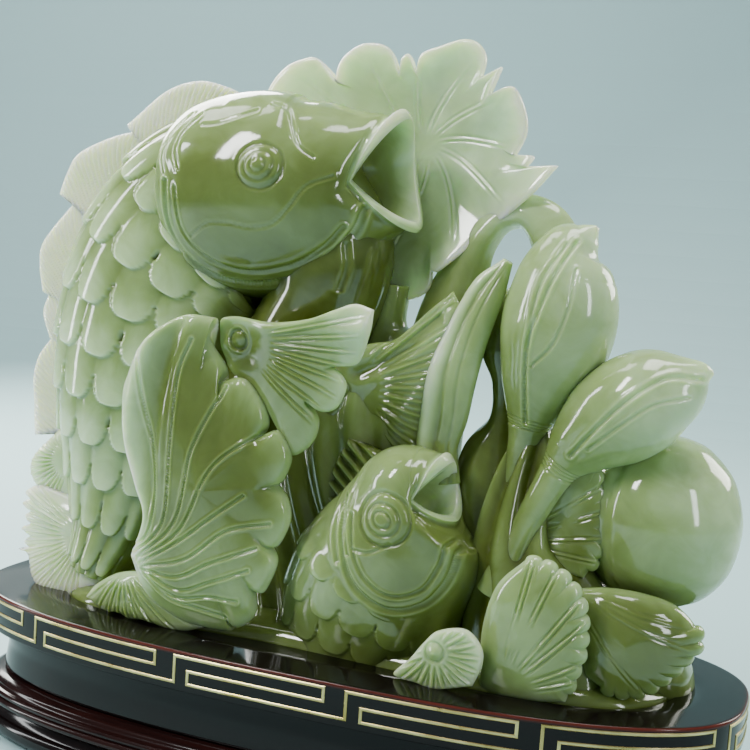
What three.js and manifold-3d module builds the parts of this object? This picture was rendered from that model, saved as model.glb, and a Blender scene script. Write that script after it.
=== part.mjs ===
// Jade carving of two carp among lotus leaves, buds and a seed pod, on an oval lacquered stand whose
// edge carries a brass fret. Millimetres, +Z up. The origin is the centre of the stand's footprint, +X
// runs along the stand and +Y to the back. The carving sits in a recess of the deck and lifts out.
import * as THREE from 'three';
import { mergeVertices } from 'three/addons/utils/BufferGeometryUtils.js';
import Module from 'manifold-3d';

const wasm = await Module();
wasm.setup();

// ---- Driving dimensions ----------------------------------------------------------------------------
const GAP = 0.3;                 // clearance between neighbouring pieces
const HALF_LENGTH = 150;         // the deck's oval, a superellipse
const HALF_WIDTH = 59.5;
const OVAL_POWER = 2.7;
const DECK_TOP = 62;
const DECK_THICK = 14.6;
const DECK_ARRIS = 0.8;          // small bevel along the deck's top edge
const RECESS_DEPTH = 5;
const RECESS_MARGIN = 1;         // play around the carving's foot
const WAIST_INSET = 8;
const WAIST_HEIGHT = 19.5;
const BEAD_HEIGHT = 9;
const SKIRT_HEIGHT = 11;
const FEET = 6;
const FOOT_DEPTH = 12;
const FOOT_FLARE = 2.5;          // how far the ends of a foot are raised

const FRET_UNITS = 11;           // repeats of the meander around the deck
const STEPS_PER_UNIT = 6;        // straight facets of the deck's edge in one repeat
const FRET_HEIGHT = 10.5;
const FRET_LINE = 1.1;           // width of the brass line
const FRET_PROUD = 0.4;          // thickness of the brass beyond its gap
const FRET_TOP = DECK_TOP - 1.5;
const FRET_START = -102.4;       // one upright of the meander, as arc length from the front centre

const DECK_FACETS = FRET_UNITS * STEPS_PER_UNIT;
const MOULDING_FACETS = 44;
const RECESS_FLOOR = DECK_TOP - RECESS_DEPTH;
const DECK_BOTTOM = DECK_TOP - DECK_THICK;
const WAIST_BOTTOM = DECK_BOTTOM - WAIST_HEIGHT;
const BEAD_BOTTOM = WAIST_BOTTOM - BEAD_HEIGHT;
const SKIRT_BOTTOM = BEAD_BOTTOM - SKIRT_HEIGHT;

// ---- Colours of the materials ----------------------------------------------------------------------
const STONE = { color: 0x8fa67a, roughness: 0.22, metalness: 0 };
const PALE_STONE = { color: 0xc3d0ae, roughness: 0.22, metalness: 0 };
const DARK_STONE = { color: 0x5c6a3c, roughness: 0.25, metalness: 0 };
const LACQUER = { color: 0x2a1512, roughness: 0.12, metalness: 0 };
const BRASS = { color: 0xc9a24a, roughness: 0.3, metalness: 1 };

// ---- Solids from rings of points -------------------------------------------------------------------
const vector = ([x, y, z]) => new THREE.Vector3(x, y, z);

// A closed solid through rings with equal numbers of points. Its ends are closed around their centres,
// or it closes on itself like a hoop.
function ringSolid(rings, { hoop = false, start = null, end = null } = {}) {
  const count = rings[0].length;
  const points = rings.flat().map((point) => point.clone());
  const faces = [];
  const spans = hoop ? rings.length : rings.length - 1;
  for (let i = 0; i < spans; i += 1) {
    const here = i * count;
    const next = ((i + 1) % rings.length) * count;
    for (let j = 0; j < count; j += 1) {
      const k = (j + 1) % count;
      faces.push(here + j, here + k, next + k, here + j, next + k, next + j);
    }
  }
  if (!hoop) {
    const last = (rings.length - 1) * count;
    const startIndex = points.push(start ?? middle(rings[0])) - 1;
    const endIndex = points.push(end ?? middle(rings.at(-1))) - 1;
    for (let j = 0; j < count; j += 1) {
      const k = (j + 1) % count;
      faces.push(startIndex, k, j, endIndex, last + j, last + k);
    }
  }
  return facingOut(points, faces);
}

function middle(ring) {
  const sum = ring.reduce((total, point) => total.add(point), new THREE.Vector3());
  return sum.divideScalar(ring.length);
}

function facingOut(points, faces) {
  let volume = 0;
  for (let i = 0; i < faces.length; i += 3) {
    const [a, b, c] = faces.slice(i, i + 3).map((index) => points[index]);
    volume += a.dot(b.clone().cross(c));
  }
  const index = volume > 0 ? faces : faces.toReversed();
  const geometry = new THREE.BufferGeometry().setFromPoints(points);
  geometry.setIndex(index);
  return geometry;
}

// A rounded body along a curve in the XZ plane. Each station is [x, y, z, half width, half depth].
function loft(stations, { sides = 14, steps = 12 } = {}) {
  const path = new THREE.CatmullRomCurve3(stations.map(vector));
  const size = new THREE.CatmullRomCurve3(stations.map(([, , , across, deep]) => vector([across, deep, 0])));
  const rings = [];
  for (let i = 0; i <= steps; i += 1) {
    const centre = path.getPoint(i / steps);
    const { x: across, y: deep } = size.getPoint(i / steps);
    const along = path.getTangent(i / steps);
    const side = new THREE.Vector3(-along.z, 0, along.x).normalize();
    rings.push(Array.from({ length: sides }, (_, j) => {
      const turn = (2 * Math.PI * j) / sides;
      const point = centre.clone().addScaledVector(side, across * Math.cos(turn));
      point.y += deep * Math.sin(turn);
      return point;
    }));
  }
  return ringSolid(rings);
}

// A leaf that spreads from a heart point to a wavy closed edge. It faces -Y and thins towards its edge.
function leaf(heart, edge, { thick = 8, rim = 3, swell = 0, smooth = 1 } = {}) {
  const curve = new THREE.CatmullRomCurve3(edge.map(vector), true);
  const samples = edge.length * smooth;
  const centre = vector(heart);
  const ring = (reach, back) => Array.from({ length: samples }, (_, i) => {
    const point = centre.clone().lerp(curve.getPoint(i / samples), reach);
    point.y += back * THREE.MathUtils.lerp(thick, rim, reach * reach) - 4 * swell * reach * (1 - reach);
    return point;
  });
  const rings = [ring(0.55, 0), ring(1, 0), ring(1, 1), ring(0.55, 1)];
  return ringSolid(rings, { start: centre, end: centre.clone().add(vector([0, thick, 0])) });
}

// A fin between the curve of its root and the curve of its free edge, thin along Y.
function fin(root, edge, { thick = 5, rim = 2.5, steps = 12 } = {}) {
  const rootCurve = new THREE.CatmullRomCurve3(root.map(vector));
  const edgeCurve = new THREE.CatmullRomCurve3(edge.map(vector));
  const rings = [];
  for (let i = 0; i <= steps; i += 1) {
    const inner = rootCurve.getPoint(i / steps);
    const outer = edgeCurve.getPoint(i / steps);
    const shifted = (point, by) => point.clone().add(vector([0, by, 0]));
    rings.push([shifted(inner, -thick / 2), shifted(outer, -rim / 2), shifted(outer, rim / 2),
      shifted(inner, thick / 2)]);
  }
  return ringSolid(rings);
}

// ---- Joins and cuts --------------------------------------------------------------------------------
function toManifold(geometry) {
  const clean = geometry.clone();
  clean.deleteAttribute('normal');
  clean.deleteAttribute('uv');
  const merged = mergeVertices(clean, 1e-4);
  const mesh = new wasm.Mesh({
    numProp: 3,
    vertProperties: new Float32Array(merged.attributes.position.array),
    triVerts: new Uint32Array(merged.index.array),
  });
  return new wasm.Manifold(mesh);
}

function toGeometry(manifold) {
  const { vertProperties, triVerts } = manifold.getMesh();
  const geometry = new THREE.BufferGeometry();
  geometry.setAttribute('position', new THREE.BufferAttribute(new Float32Array(vertProperties), 3));
  geometry.setIndex(new THREE.BufferAttribute(new Uint32Array(triVerts), 1));
  return geometry;
}

// The same solid with every point moved outwards along its normal.
function grown(geometry, distance) {
  const merged = mergeVertices(geometry.clone(), 1e-4);
  merged.computeVertexNormals();
  const { position, normal } = merged.attributes;
  for (let i = 0; i < position.count; i += 1) {
    position.setXYZ(i, position.getX(i) + distance * normal.getX(i),
      position.getY(i) + distance * normal.getY(i), position.getZ(i) + distance * normal.getZ(i));
  }
  merged.deleteAttribute('normal');
  return merged;
}

function largestBody(manifold) {
  return manifold.decompose().reduce((best, body) => (body.volume() > best.volume() ? body : best));
}

function cut(geometry, ...tools) {
  const start = toManifold(geometry);
  const result = tools.reduce((solid, tool) => solid.subtract(toManifold(tool)), start);
  return toGeometry(largestBody(result));
}

// ---- Outlines of the stand -------------------------------------------------------------------------
// Points at equal steps of arc length around the deck's oval, from the front centre towards +X, each
// moved outwards by an offset.
function ovalRing(offset, z, count, startArc = 0) {
  const fine = 1440;
  const corner = (turn) => {
    const power = 2 / OVAL_POWER;
    const [c, s] = [Math.cos(turn), Math.sin(turn)];
    return new THREE.Vector2(HALF_LENGTH * Math.sign(c) * Math.abs(c) ** power,
      HALF_WIDTH * Math.sign(s) * Math.abs(s) ** power);
  };
  const curve = Array.from({ length: fine + 1 }, (_, i) => corner((2 * Math.PI * i) / fine - Math.PI / 2));
  const arcs = [0];
  for (let i = 1; i <= fine; i += 1) {
    arcs.push(arcs[i - 1] + curve[i].distanceTo(curve[i - 1]));
  }
  const total = arcs[fine];
  return Array.from({ length: count }, (_, i) => {
    const arc = (((startArc + (total * i) / count) % total) + total) % total;
    const upper = arcs.findIndex((value) => value > arc);
    const share = (arc - arcs[upper - 1]) / (arcs[upper] - arcs[upper - 1]);
    const point = curve[upper - 1].clone().lerp(curve[upper], share);
    const along = curve[upper].clone().sub(curve[upper - 1]).normalize();
    return vector([point.x + offset * along.y, point.y - offset * along.x, z]);
  });
}

// A moulding of the stand: its profile is a list of [offset from the deck's oval, z].
function moulding(profile, count = MOULDING_FACETS, startArc = 0) {
  return ringSolid(profile.map(([offset, z]) => ovalRing(offset, z, count, startArc)));
}

// The outline of the carving's foot at one height, and of the recess that holds it.
function footRing(offset, z) {
  const corners = [[126, 12], [112, 31], [60, 36], [0, 37], [-62, 35], [-104, 24], [-117, -4],
    [-98, -28], [-58, -35], [-14, -33], [30, -35], [78, -38], [112, -29], [125, -10]];
  const curve = new THREE.CatmullRomCurve3(corners.map(([x, y]) => vector([x, y, z])), true);
  const count = corners.length * 2;
  return Array.from({ length: count }, (_, i) => {
    const along = curve.getTangent(i / count);
    return curve.getPoint(i / count).add(vector([along.y, -along.x, 0]).multiplyScalar(offset));
  });
}

// ---- Stand -----------------------------------------------------------------------------------------
function deckBoard() {
  const top = DECK_TOP - DECK_ARRIS;
  const board = moulding([[0, DECK_BOTTOM], [0, top], [-DECK_ARRIS, DECK_TOP]], DECK_FACETS, FRET_START);
  const recess = ringSolid([footRing(RECESS_MARGIN, RECESS_FLOOR), footRing(RECESS_MARGIN, DECK_TOP + 5)]);
  return cut(board, recess);
}

// One unbroken brass line: up, along the top, back along the middle and on along the bottom.
function fretInlay() {
  const [bottom, top] = [FRET_TOP - FRET_HEIGHT + FRET_LINE / 2, FRET_TOP - FRET_LINE / 2];
  const centre = (bottom + top) / 2;
  const reach = 5.25;
  const turnBack = 0.5;
  const path = [];
  for (let unit = 0; unit < FRET_UNITS; unit += 1) {
    const at = (step, z) => path.push(new THREE.Vector2(unit * STEPS_PER_UNIT + step, z));
    at(0, bottom);
    for (let step = 0; step <= 5; step += 1) at(step, top);
    at(reach, top);
    at(reach, centre);
    for (let step = 5; step >= 1; step -= 1) at(step, centre);
    at(turnBack, centre);
    at(turnBack, bottom);
    for (let step = 1; step <= 5; step += 1) at(step, bottom);
  }
  const inner = ovalRing(GAP, 0, DECK_FACETS, FRET_START);
  const outer = ovalRing(GAP + FRET_PROUD, 0, DECK_FACETS, FRET_START);
  const stepLength = inner[0].distanceTo(inner[1]);
  const onEdge = (ring, { x: step, y: z }) => {
    const wrapped = ((step % DECK_FACETS) + DECK_FACETS) % DECK_FACETS;
    const from = Math.floor(wrapped);
    const point = ring[from].clone().lerp(ring[(from + 1) % DECK_FACETS], wrapped - from);
    return point.setZ(z);
  };
  const count = path.length;
  const rings = path.map((point, i) => {
    const before = path[(i - 1 + count) % count].clone();
    const after = path[(i + 1) % count].clone();
    if (i === 0) before.x -= DECK_FACETS;
    if (i === count - 1) after.x += DECK_FACETS;
    const scale = new THREE.Vector2(stepLength, 1);
    const into = point.clone().sub(before).multiply(scale).normalize();
    const out = after.sub(point).multiply(scale).normalize();
    const mitre = new THREE.Vector2(-into.y - out.y, into.x + out.x).divideScalar(1 + into.dot(out));
    const aside = mitre.multiplyScalar(FRET_LINE / 2).divide(scale);
    const left = point.clone().add(aside);
    const right = point.clone().sub(aside);
    return [onEdge(inner, left), onEdge(outer, left), onEdge(outer, right), onEdge(inner, right)];
  });
  return ringSolid(rings, { hoop: true });
}

function waist() {
  const inset = -WAIST_INSET;
  return moulding([[inset, WAIST_BOTTOM], [inset - 1.5, (WAIST_BOTTOM + DECK_BOTTOM) / 2],
    [inset, DECK_BOTTOM - GAP]]);
}

function beadMoulding() {
  const top = WAIST_BOTTOM - GAP;
  return moulding([[-2, BEAD_BOTTOM], [0.5, BEAD_BOTTOM + 1.5], [-2, BEAD_BOTTOM + 3.5], [-0.5, top - 3],
    [-3, top - 1], [-6, top]]);
}

function skirtMoulding() {
  const top = BEAD_BOTTOM - GAP;
  return moulding([[-1, SKIRT_BOTTOM], [1, SKIRT_BOTTOM + 3], [0, SKIRT_BOTTOM + 6], [-3, top]]);
}

// A bracket foot under the skirt, following the oval, with both its ends raised.
function foot(index) {
  const facets = 4;
  const around = FEET * 14;
  const centre = index * 14 + 7;
  const outer = ovalRing(-2, 0, around);
  const inner = ovalRing(-2 - FOOT_DEPTH, 0, around);
  const top = SKIRT_BOTTOM - GAP;
  const rings = [];
  for (let i = -facets / 2; i <= facets / 2; i += 1) {
    const place = (centre + i) % around;
    const bottom = Math.abs(i) === facets / 2 ? FOOT_FLARE : 0;
    const at = (point, z) => point.clone().setZ(z);
    rings.push([at(outer[place], bottom), at(outer[place], top), at(inner[place], top),
      at(inner[place], bottom)]);
  }
  return ringSolid(rings);
}

// ---- Carved stone ----------------------------------------------------------------------------------
function footRock() {
  const bottom = RECESS_FLOOR + GAP;
  return ringSolid([footRing(0, bottom), footRing(0, DECK_TOP + 1), footRing(-5, DECK_TOP + 6),
    footRing(-12, DECK_TOP + 8)]);
}

const middleRock = () => loft([[8, 4, 62, 46, 25], [4, 4, 84, 43, 25], [2, 4, 106, 40, 24],
  [3, 4, 130, 36, 21], [7, 5, 150, 28, 17], [10, 7, 165, 14, 11], [8, 9, 178, 7, 8], [9, 10, 190, 6, 7]],
{ steps: 10, sides: 12 });

const bigCarpHead = () => cut(
  loft([[-76, -3, 219.5, 11, 16], [-72, -4, 220, 25, 26], [-62, -4, 221.5, 35, 31], [-48, -5, 221.5, 38, 33],
    [-34, -5, 222, 38, 33], [-20, -5, 224, 36, 31], [-8, -5, 227.5, 30.5, 27], [4, -5, 230.5, 24, 22],
    [14, -5, 232.5, 21, 18]], { steps: 11 }),
  loft([[-6, -5, 230, 4, 4], [2, -5, 231, 11, 9], [9, -5, 232, 16, 12], [20, -5, 233, 18, 14]],
    { sides: 10, steps: 4 }),
);

const bigCarpBody = () => loft([[-44, -1, 215, 37, 18], [-58, -1, 211, 41, 21], [-71, 0, 199, 44, 25],
  [-81, 2, 181, 45, 28], [-87, 3, 158, 43, 29], [-90, 2, 133, 37.5, 27], [-92, -1, 110, 29, 22],
  [-94, -6, 89, 19, 17], [-98, -12, 71, 11, 12]], { steps: 14 });

const bigCarpBreast = () => loft([[-24, -3, 212, 28, 18], [-13, -3, 203, 25, 22], [-12, -2, 190, 21, 23],
  [-19, 0, 174, 22, 23], [-32, 1, 150, 23, 22], [-46, 1, 124, 22, 20], [-62, 0, 100, 16, 16]], { steps: 9 });

const bigCarpDorsalFin = () => fin(
  [[-50, 3, 250], [-74, 3, 240], [-96, 4, 222], [-110, 4, 198], [-116, 4, 170], [-114, 4, 140], [-104, 3, 118]],
  [[-54, 2, 261], [-75, 2, 264], [-105, 2, 247], [-125, 2, 234], [-136, 2, 218], [-142, 2, 190],
    [-136, 2, 159], [-143, 2, 141], [-134, 1, 121]],
);

const bigCarpTailFin = () => leaf([-112, -14, 88], [[-122, 0, 122], [-137, -2, 108], [-134, -4, 98],
  [-139, -6, 86], [-137, -10, 72], [-126, -16, 64], [-112, -22, 63], [-94, -22, 66], [-98, -14, 92],
  [-108, -6, 112]], { thick: 10, rim: 5 });

const bigCarpPectoralFin = () => leaf([-16, -38, 164], [[-40, -38, 174], [-21, -40, 178], [-2, -40, 179],
  [12, -40, 185], [20, -38, 184], [20, -38, 170], [15, -38, 164], [11, -38, 154], [-4, -38, 149],
  [0, -37, 137], [-9, -37, 131], [-22, -36, 148], [-36, -36, 160]], { thick: 7, rim: 4 });

const frontLotusLeaf = () => leaf([-40, -42, 116], [[-66, -34, 87], [-61, -36, 101], [-66, -36, 115],
  [-73, -34, 137], [-72, -34, 155], [-65, -34, 169], [-53, -36, 176], [-42, -38, 170], [-38, -38, 156],
  [-28, -38, 156], [-19, -38, 147], [-13, -38, 139], [-8, -38, 129], [-13, -37, 119], [-7, -37, 109],
  [-12, -37, 96], [-11, -36, 84], [-17, -36, 72], [-28, -36, 66], [-46, -36, 71]],
{ thick: 10, rim: 5, swell: 2 });

const footLeaf = () => leaf([-66, -34, 70], [[-93, -28, 66], [-84, -30, 73], [-67, -34, 79],
  [-50, -36, 77], [-36, -34, 66], [-42, -34, 63], [-66, -34, 63], [-84, -30, 63]], { thick: 8, rim: 4 });

const backLotusLeaf = () => leaf([12, 16, 236], [[-48, 12, 240], [-48, 11, 262], [-37, 10, 274],
  [-23, 11, 270], [-10, 9, 279], [5, 11, 272], [17, 9, 279], [32, 9, 281], [37, 11, 272], [43, 10, 269],
  [52, 9, 262], [54, 10, 248], [66, 9, 239], [61, 9, 230], [43, 9, 212], [26, 9, 198], [17, 10, 187],
  [2, 11, 183], [-18, 13, 197], [-36, 13, 220]], { thick: 9, rim: 4, swell: -2 });

const archStem = () => loft([[29, 9, 170, 12, 8], [32, 11, 186, 11, 7], [35, 13, 199, 9, 6],
  [39, 14, 210, 7, 5.5], [46, 15, 219, 6, 5.5], [56, 14, 221.5, 6.5, 5.5], [65, 12, 216, 8.5, 5.5],
  [70, 9, 205, 9, 6], [65, 6, 194, 8, 6.5], [57, 4, 184, 9.5, 8], [55, 3, 173, 9, 8.5], [57, 3, 161, 6, 7],
  [57, 3, 147, 6, 7], [54, 1, 133, 12, 9], [54, 0, 114, 14, 12], [58, 0, 100, 13, 13]], { sides: 10, steps: 22 });

const bladeLeaf = () => fin(
  [[58, -5, 204], [57, -7, 193], [55, -9, 184], [52.5, -10, 175], [50, -10, 162], [48, -10, 149],
    [46, -10, 130]],
  [[55, -8, 206], [47, -10, 197], [42, -12, 187], [37.5, -13, 175], [32.5, -14, 162], [30.5, -14, 149],
    [31, -14, 130]],
  { thick: 7, rim: 5, steps: 9 },
);

const upperBud = () => loft([[87, -8, 217.5, 0.8, 0.8], [84, -8, 214.5, 5, 5], [80, -8, 209.5, 11.5, 10.5],
  [78, -8, 201, 16.5, 15.5], [77, -8, 188, 19.5, 18], [75, -8, 175, 18.7, 17.3], [72, -8, 163, 14.5, 13.5],
  [69.5, -8, 151, 9, 8.5], [68, -8, 142, 6, 6], [66, -9, 126, 5, 5], [62, -10, 98, 5, 5]],
{ steps: 15, sides: 12 });

const lowerBud = () => loft([[130, -14, 173, 0.8, 0.8], [126.5, -14, 172, 5, 5], [120, -14, 168, 11.5, 11],
  [110, -14, 162.5, 16.5, 16], [98.5, -14, 154, 16.5, 15.5], [89, -15, 144.5, 11.5, 11], [82.5, -16, 135, 6.5, 6],
  [76, -18, 121, 5, 5], [68, -19, 98, 5, 5]], { steps: 14, sides: 12 });

const stemCluster = () => loft([[73, -5, 149, 3, 4], [72, -6, 140, 8, 7], [70, -8, 124, 12, 10], [70, -9, 106, 16, 15],
  [75, -9, 90, 23, 19], [80, -8, 70, 29, 24]], { steps: 8, sides: 12 });

const seedPod = () => loft([[115, 4, 148, 2, 2], [115, 4, 145, 14, 14], [115, 4, 134, 23.5, 22.5],
  [115, 4, 119, 27, 26], [116, 4, 103, 23.5, 22.5], [117, 4, 91, 13, 12], [118, 4, 88, 2, 2]],
{ steps: 8, sides: 16 });

const podLeaf = () => leaf([88, -12, 118], [[77, -10, 133], [87, -10, 139], [95, -10, 142], [98, -10, 130],
  [99, -10, 117], [102, -11, 106], [95, -13, 99], [82, -14, 101], [76, -12, 117]], { thick: 8, rim: 5 });

const frontSerratedLeaf = () => leaf([80, -37, 82], [[68, -34, 64], [66, -34, 84], [70, -34, 99],
  [80, -34, 108], [90, -34, 107], [97, -34, 101], [101, -34, 93], [102, -34, 83], [101, -34, 74],
  [98, -34, 64], [84, -34, 62.5]], { thick: 11, rim: 6, smooth: 2 });

const rightSerratedLeaf = () => leaf([114, -24, 82], [[94, -22, 98], [104, -20, 98], [116, -18, 97],
  [126, -16, 95], [133, -14, 89], [133, -14, 81], [127, -16, 71], [116, -20, 64], [104, -22, 66],
  [97, -24, 76]], { thick: 12, rim: 6, smooth: 2 });

const rightRock = () => loft([[96, 4, 66, 32, 24], [98, 4, 76, 31, 23], [98, 4, 86, 24, 18],
  [96, 4, 93, 12, 10]], { steps: 4, sides: 14 });

const smallCarpBody = () => cut(
  loft([[14, -15, 62, 30, 19], [18, -16, 76, 33, 23], [23, -17, 89, 33, 25], [29, -19, 101, 31, 24],
    [34, -20, 112, 29, 22], [39, -22, 119.5, 24, 18.5], [47, -23, 125, 14.5, 13]], { steps: 10 }),
  loft([[37, -23, 117, 3, 3], [42, -23, 121, 8, 8], [46, -23, 124, 11, 10], [52, -23, 129, 12, 11]],
    { sides: 10, steps: 4 }),
);

const smallCarpDorsalFin = () => fin(
  [[14, -16, 134], [10, -17, 122], [8, -17, 108], [4, -17, 92], [-2, -17, 76]],
  [[-8, -14, 136], [-12, -14, 120], [-13, -14, 104], [-16, -14, 88], [-15, -15, 74]],
  { thick: 8, rim: 3, steps: 8 },
);

const smallCarpPectoralFin = () => leaf([54, -46, 71], [[38, -42, 65], [45, -43, 74], [55, -43, 81],
  [63, -43, 83], [68, -42, 74], [65, -42, 65], [52, -42, 62.8]], { thick: 5, rim: 3 });

const rearFin = () => leaf([14, -12, 154], [[-10, -8, 160], [0, -10, 168], [12, -11, 171], [24, -11, 180],
  [37, -9, 190], [41, -8, 182], [40, -8, 166], [37, -9, 148], [34, -9, 132], [16, -9, 124], [0, -9, 128],
  [-10, -9, 144]], { thick: 8, rim: 5 });

// Pieces of the stone in the order in which they keep their shape: each one is cut back, with a gap,
// where it meets the deck or an earlier one.
const CARVED = [
  ['foot_rock', footRock, DARK_STONE],
  ['big_carp_head', bigCarpHead, STONE],
  ['small_carp_body', smallCarpBody, STONE],
  ['big_carp_body', bigCarpBody, STONE],
  ['seed_pod', seedPod, STONE],
  ['upper_bud', upperBud, STONE],
  ['lower_bud', lowerBud, STONE],
  ['front_lotus_leaf', frontLotusLeaf, PALE_STONE],
  ['big_carp_pectoral_fin', bigCarpPectoralFin, PALE_STONE],
  ['front_serrated_leaf', frontSerratedLeaf, PALE_STONE],
  ['right_serrated_leaf', rightSerratedLeaf, PALE_STONE],
  ['small_carp_pectoral_fin', smallCarpPectoralFin, PALE_STONE],
  ['back_lotus_leaf', backLotusLeaf, STONE],
  ['pod_leaf', podLeaf, STONE],
  ['blade_leaf', bladeLeaf, PALE_STONE],
  ['arch_stem', archStem, STONE],
  ['stem_cluster', stemCluster, DARK_STONE],
  ['rear_fin', rearFin, STONE],
  ['big_carp_dorsal_fin', bigCarpDorsalFin, PALE_STONE],
  ['big_carp_tail_fin', bigCarpTailFin, PALE_STONE],
  ['small_carp_dorsal_fin', smallCarpDorsalFin, STONE],
  ['foot_leaf', footLeaf, STONE],
  ['big_carp_breast', bigCarpBreast, DARK_STONE],
  ['right_rock', rightRock, DARK_STONE],
  ['middle_rock', middleRock, DARK_STONE],
];

function meshOf(name, geometry, look) {
  const mesh = new THREE.Mesh(geometry, new THREE.MeshStandardMaterial(look));
  mesh.name = name;
  return mesh;
}

function carving(deck) {
  const group = new THREE.Group();
  const earlier = [grown(deck, GAP)];
  for (const [name, shape, look] of CARVED) {
    const solid = cut(shape(), ...earlier);
    earlier.push(solid, grown(solid, GAP * 1.7));
    group.add(meshOf(name, solid, look));
  }
  return group;
}

function stand(deck) {
  const group = new THREE.Group();
  group.add(meshOf('deck_board', deck, LACQUER));
  group.add(meshOf('fret_inlay', fretInlay(), BRASS));
  group.add(meshOf('waist', waist(), LACQUER));
  group.add(meshOf('bead_moulding', beadMoulding(), LACQUER));
  group.add(meshOf('skirt_moulding', skirtMoulding(), LACQUER));
  for (let i = 0; i < FEET; i += 1) {
    group.add(meshOf(`foot_${i + 1}`, foot(i), LACQUER));
  }
  return group;
}

const deck = deckBoard();
const figurine = new THREE.Group();
figurine.add(stand(deck), carving(deck));

export default figurine;
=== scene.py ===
"""A jade carving of two carp among lotus leaves, buds and a seed pod, on an oval lacquered stand.

Shapes are worked out in millimetres in the frame of the CAD model, +Z up and -Y to the front, and turned
into metres when a mesh is made. Every carved form is a closed grid of points: rows run along or outwards,
columns run around it.
"""
import math

import bpy
import numpy as np
from mathutils import Matrix, Vector


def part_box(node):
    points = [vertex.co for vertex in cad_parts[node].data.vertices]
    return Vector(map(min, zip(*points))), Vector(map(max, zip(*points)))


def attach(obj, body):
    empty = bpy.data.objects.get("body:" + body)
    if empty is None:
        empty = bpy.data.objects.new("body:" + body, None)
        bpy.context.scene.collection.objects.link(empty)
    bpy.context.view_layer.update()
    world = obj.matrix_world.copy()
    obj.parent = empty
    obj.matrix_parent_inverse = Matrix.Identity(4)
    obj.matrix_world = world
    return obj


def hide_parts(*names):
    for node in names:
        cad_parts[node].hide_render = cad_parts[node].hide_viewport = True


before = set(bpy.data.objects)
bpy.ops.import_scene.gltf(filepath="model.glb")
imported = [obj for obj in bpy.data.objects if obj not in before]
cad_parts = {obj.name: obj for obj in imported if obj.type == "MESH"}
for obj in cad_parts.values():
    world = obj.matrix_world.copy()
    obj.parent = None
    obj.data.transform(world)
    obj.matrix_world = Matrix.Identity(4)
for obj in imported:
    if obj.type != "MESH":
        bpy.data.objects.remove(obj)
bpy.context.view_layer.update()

MM = 0.001
DECK_LOW, DECK_HIGH = (np.array(corner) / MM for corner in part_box("deck_board"))
DECK_TOP = DECK_HIGH[2]
RECESS_FLOOR = DECK_TOP - 5
FOOT_OUTLINE = [(126, 12), (112, 31), (60, 36), (0, 37), (-62, 35), (-104, 24), (-117, -4), (-98, -28),
                (-58, -35), (-14, -33), (30, -35), (78, -38), (112, -29), (125, -10)]
HALF_LENGTH = DECK_HIGH[0]
HALF_WIDTH = DECK_HIGH[1]
OVAL_POWER = 2.7


# ---- Camera ------------------------------------------------------------------------------------------
def make_camera():
    azimuth, elevation, roll = (math.radians(angle) for angle in (21.5, 6.2, 3.9))
    target = Vector((7.2, 0, DECK_TOP + 96.5)) * MM
    back = Vector((math.sin(azimuth) * math.cos(elevation), -math.cos(azimuth) * math.cos(elevation),
                   math.sin(elevation)))
    level = Vector((math.cos(azimuth), math.sin(azimuth), 0))
    up = back.cross(level)
    right = level * math.cos(roll) + up * math.sin(roll)
    upright = up * math.cos(roll) - level * math.sin(roll)
    data = bpy.data.cameras.new("camera")
    data.lens = 60.7
    camera = bpy.data.objects.new("camera", data)
    camera.matrix_world = Matrix.Translation(target + back * 0.468) @ Matrix(
        (right, upright, back)).transposed().to_4x4()
    bpy.context.scene.collection.objects.link(camera)
    bpy.context.scene.camera = camera


make_camera()


# ---- Curves and grids --------------------------------------------------------------------------------
def smooth_path(knots, count, closed=False):
    """Points at equal parameter steps on a Catmull-Rom curve through the knots."""
    knots = np.asarray(knots, float)
    total = len(knots)
    spans = total if closed else total - 1
    steps = np.linspace(0, spans, count, endpoint=not closed)
    index = np.minimum(steps.astype(int), spans - 1)
    share = (steps - index)[:, None]
    if closed:
        before, here, after, last = (knots[(index + shift) % total] for shift in (-1, 0, 1, 2))
    else:
        padded = np.vstack([2 * knots[0] - knots[1], knots, 2 * knots[-1] - knots[-2]])
        before, here, after, last = (padded[index + shift] for shift in (0, 1, 2, 3))
    return 0.5 * (2 * here + (after - before) * share
                  + (2 * before - 5 * here + 4 * after - last) * share ** 2
                  + (3 * here - before - 3 * after + last) * share ** 3)


def even(path, count, closed=False):
    """The path sampled again at equal steps of its length."""
    points = np.vstack([path, path[:1]]) if closed else path
    lengths = np.concatenate([[0], np.cumsum(np.linalg.norm(np.diff(points, axis=0), axis=1))])
    wanted = np.linspace(0, lengths[-1], count, endpoint=not closed)
    return np.stack([np.interp(wanted, lengths, points[:, axis]) for axis in range(3)], axis=1)


def corner_path(knots, count):
    """A closed outline through the knots, smooth except at those that end in the word "corner"."""
    points = [np.array(knot[:3], float) for knot in knots]
    corners = [i for i, knot in enumerate(knots) if knot[-1] == "corner"]
    if not corners:
        return even(smooth_path(points, count * 4, closed=True), count, closed=True)
    pieces = []
    for first, last in zip(corners, corners[1:] + [corners[0] + len(knots)]):
        stretch = [points[i % len(knots)] for i in range(first, last + 1)]
        pieces.append(smooth_path(stretch, 40 * len(stretch))[:-1])
    return even(np.vstack(pieces), count, closed=True)


def serrated(path, teeth, depth, first=0.0, last=1.0):
    """A closed outline in XZ with rounded teeth standing out between two shares of its length."""
    share = np.linspace(0, 1, len(path), endpoint=False)
    along = np.roll(path, -1, axis=0) - np.roll(path, 1, axis=0)
    outward = np.stack([along[:, 2], 0 * share, -along[:, 0]], axis=1)
    outward /= np.linalg.norm(outward, axis=1)[:, None]
    if np.sum(outward * (path - path.mean(axis=0))) < 0:
        outward = -outward
    inside = np.clip((share - first) / (last - first), 0, 1)
    wave = np.abs(np.sin(inside * math.pi * teeth)) ** 0.4
    return path + outward * (wave * depth)[:, None]


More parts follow.
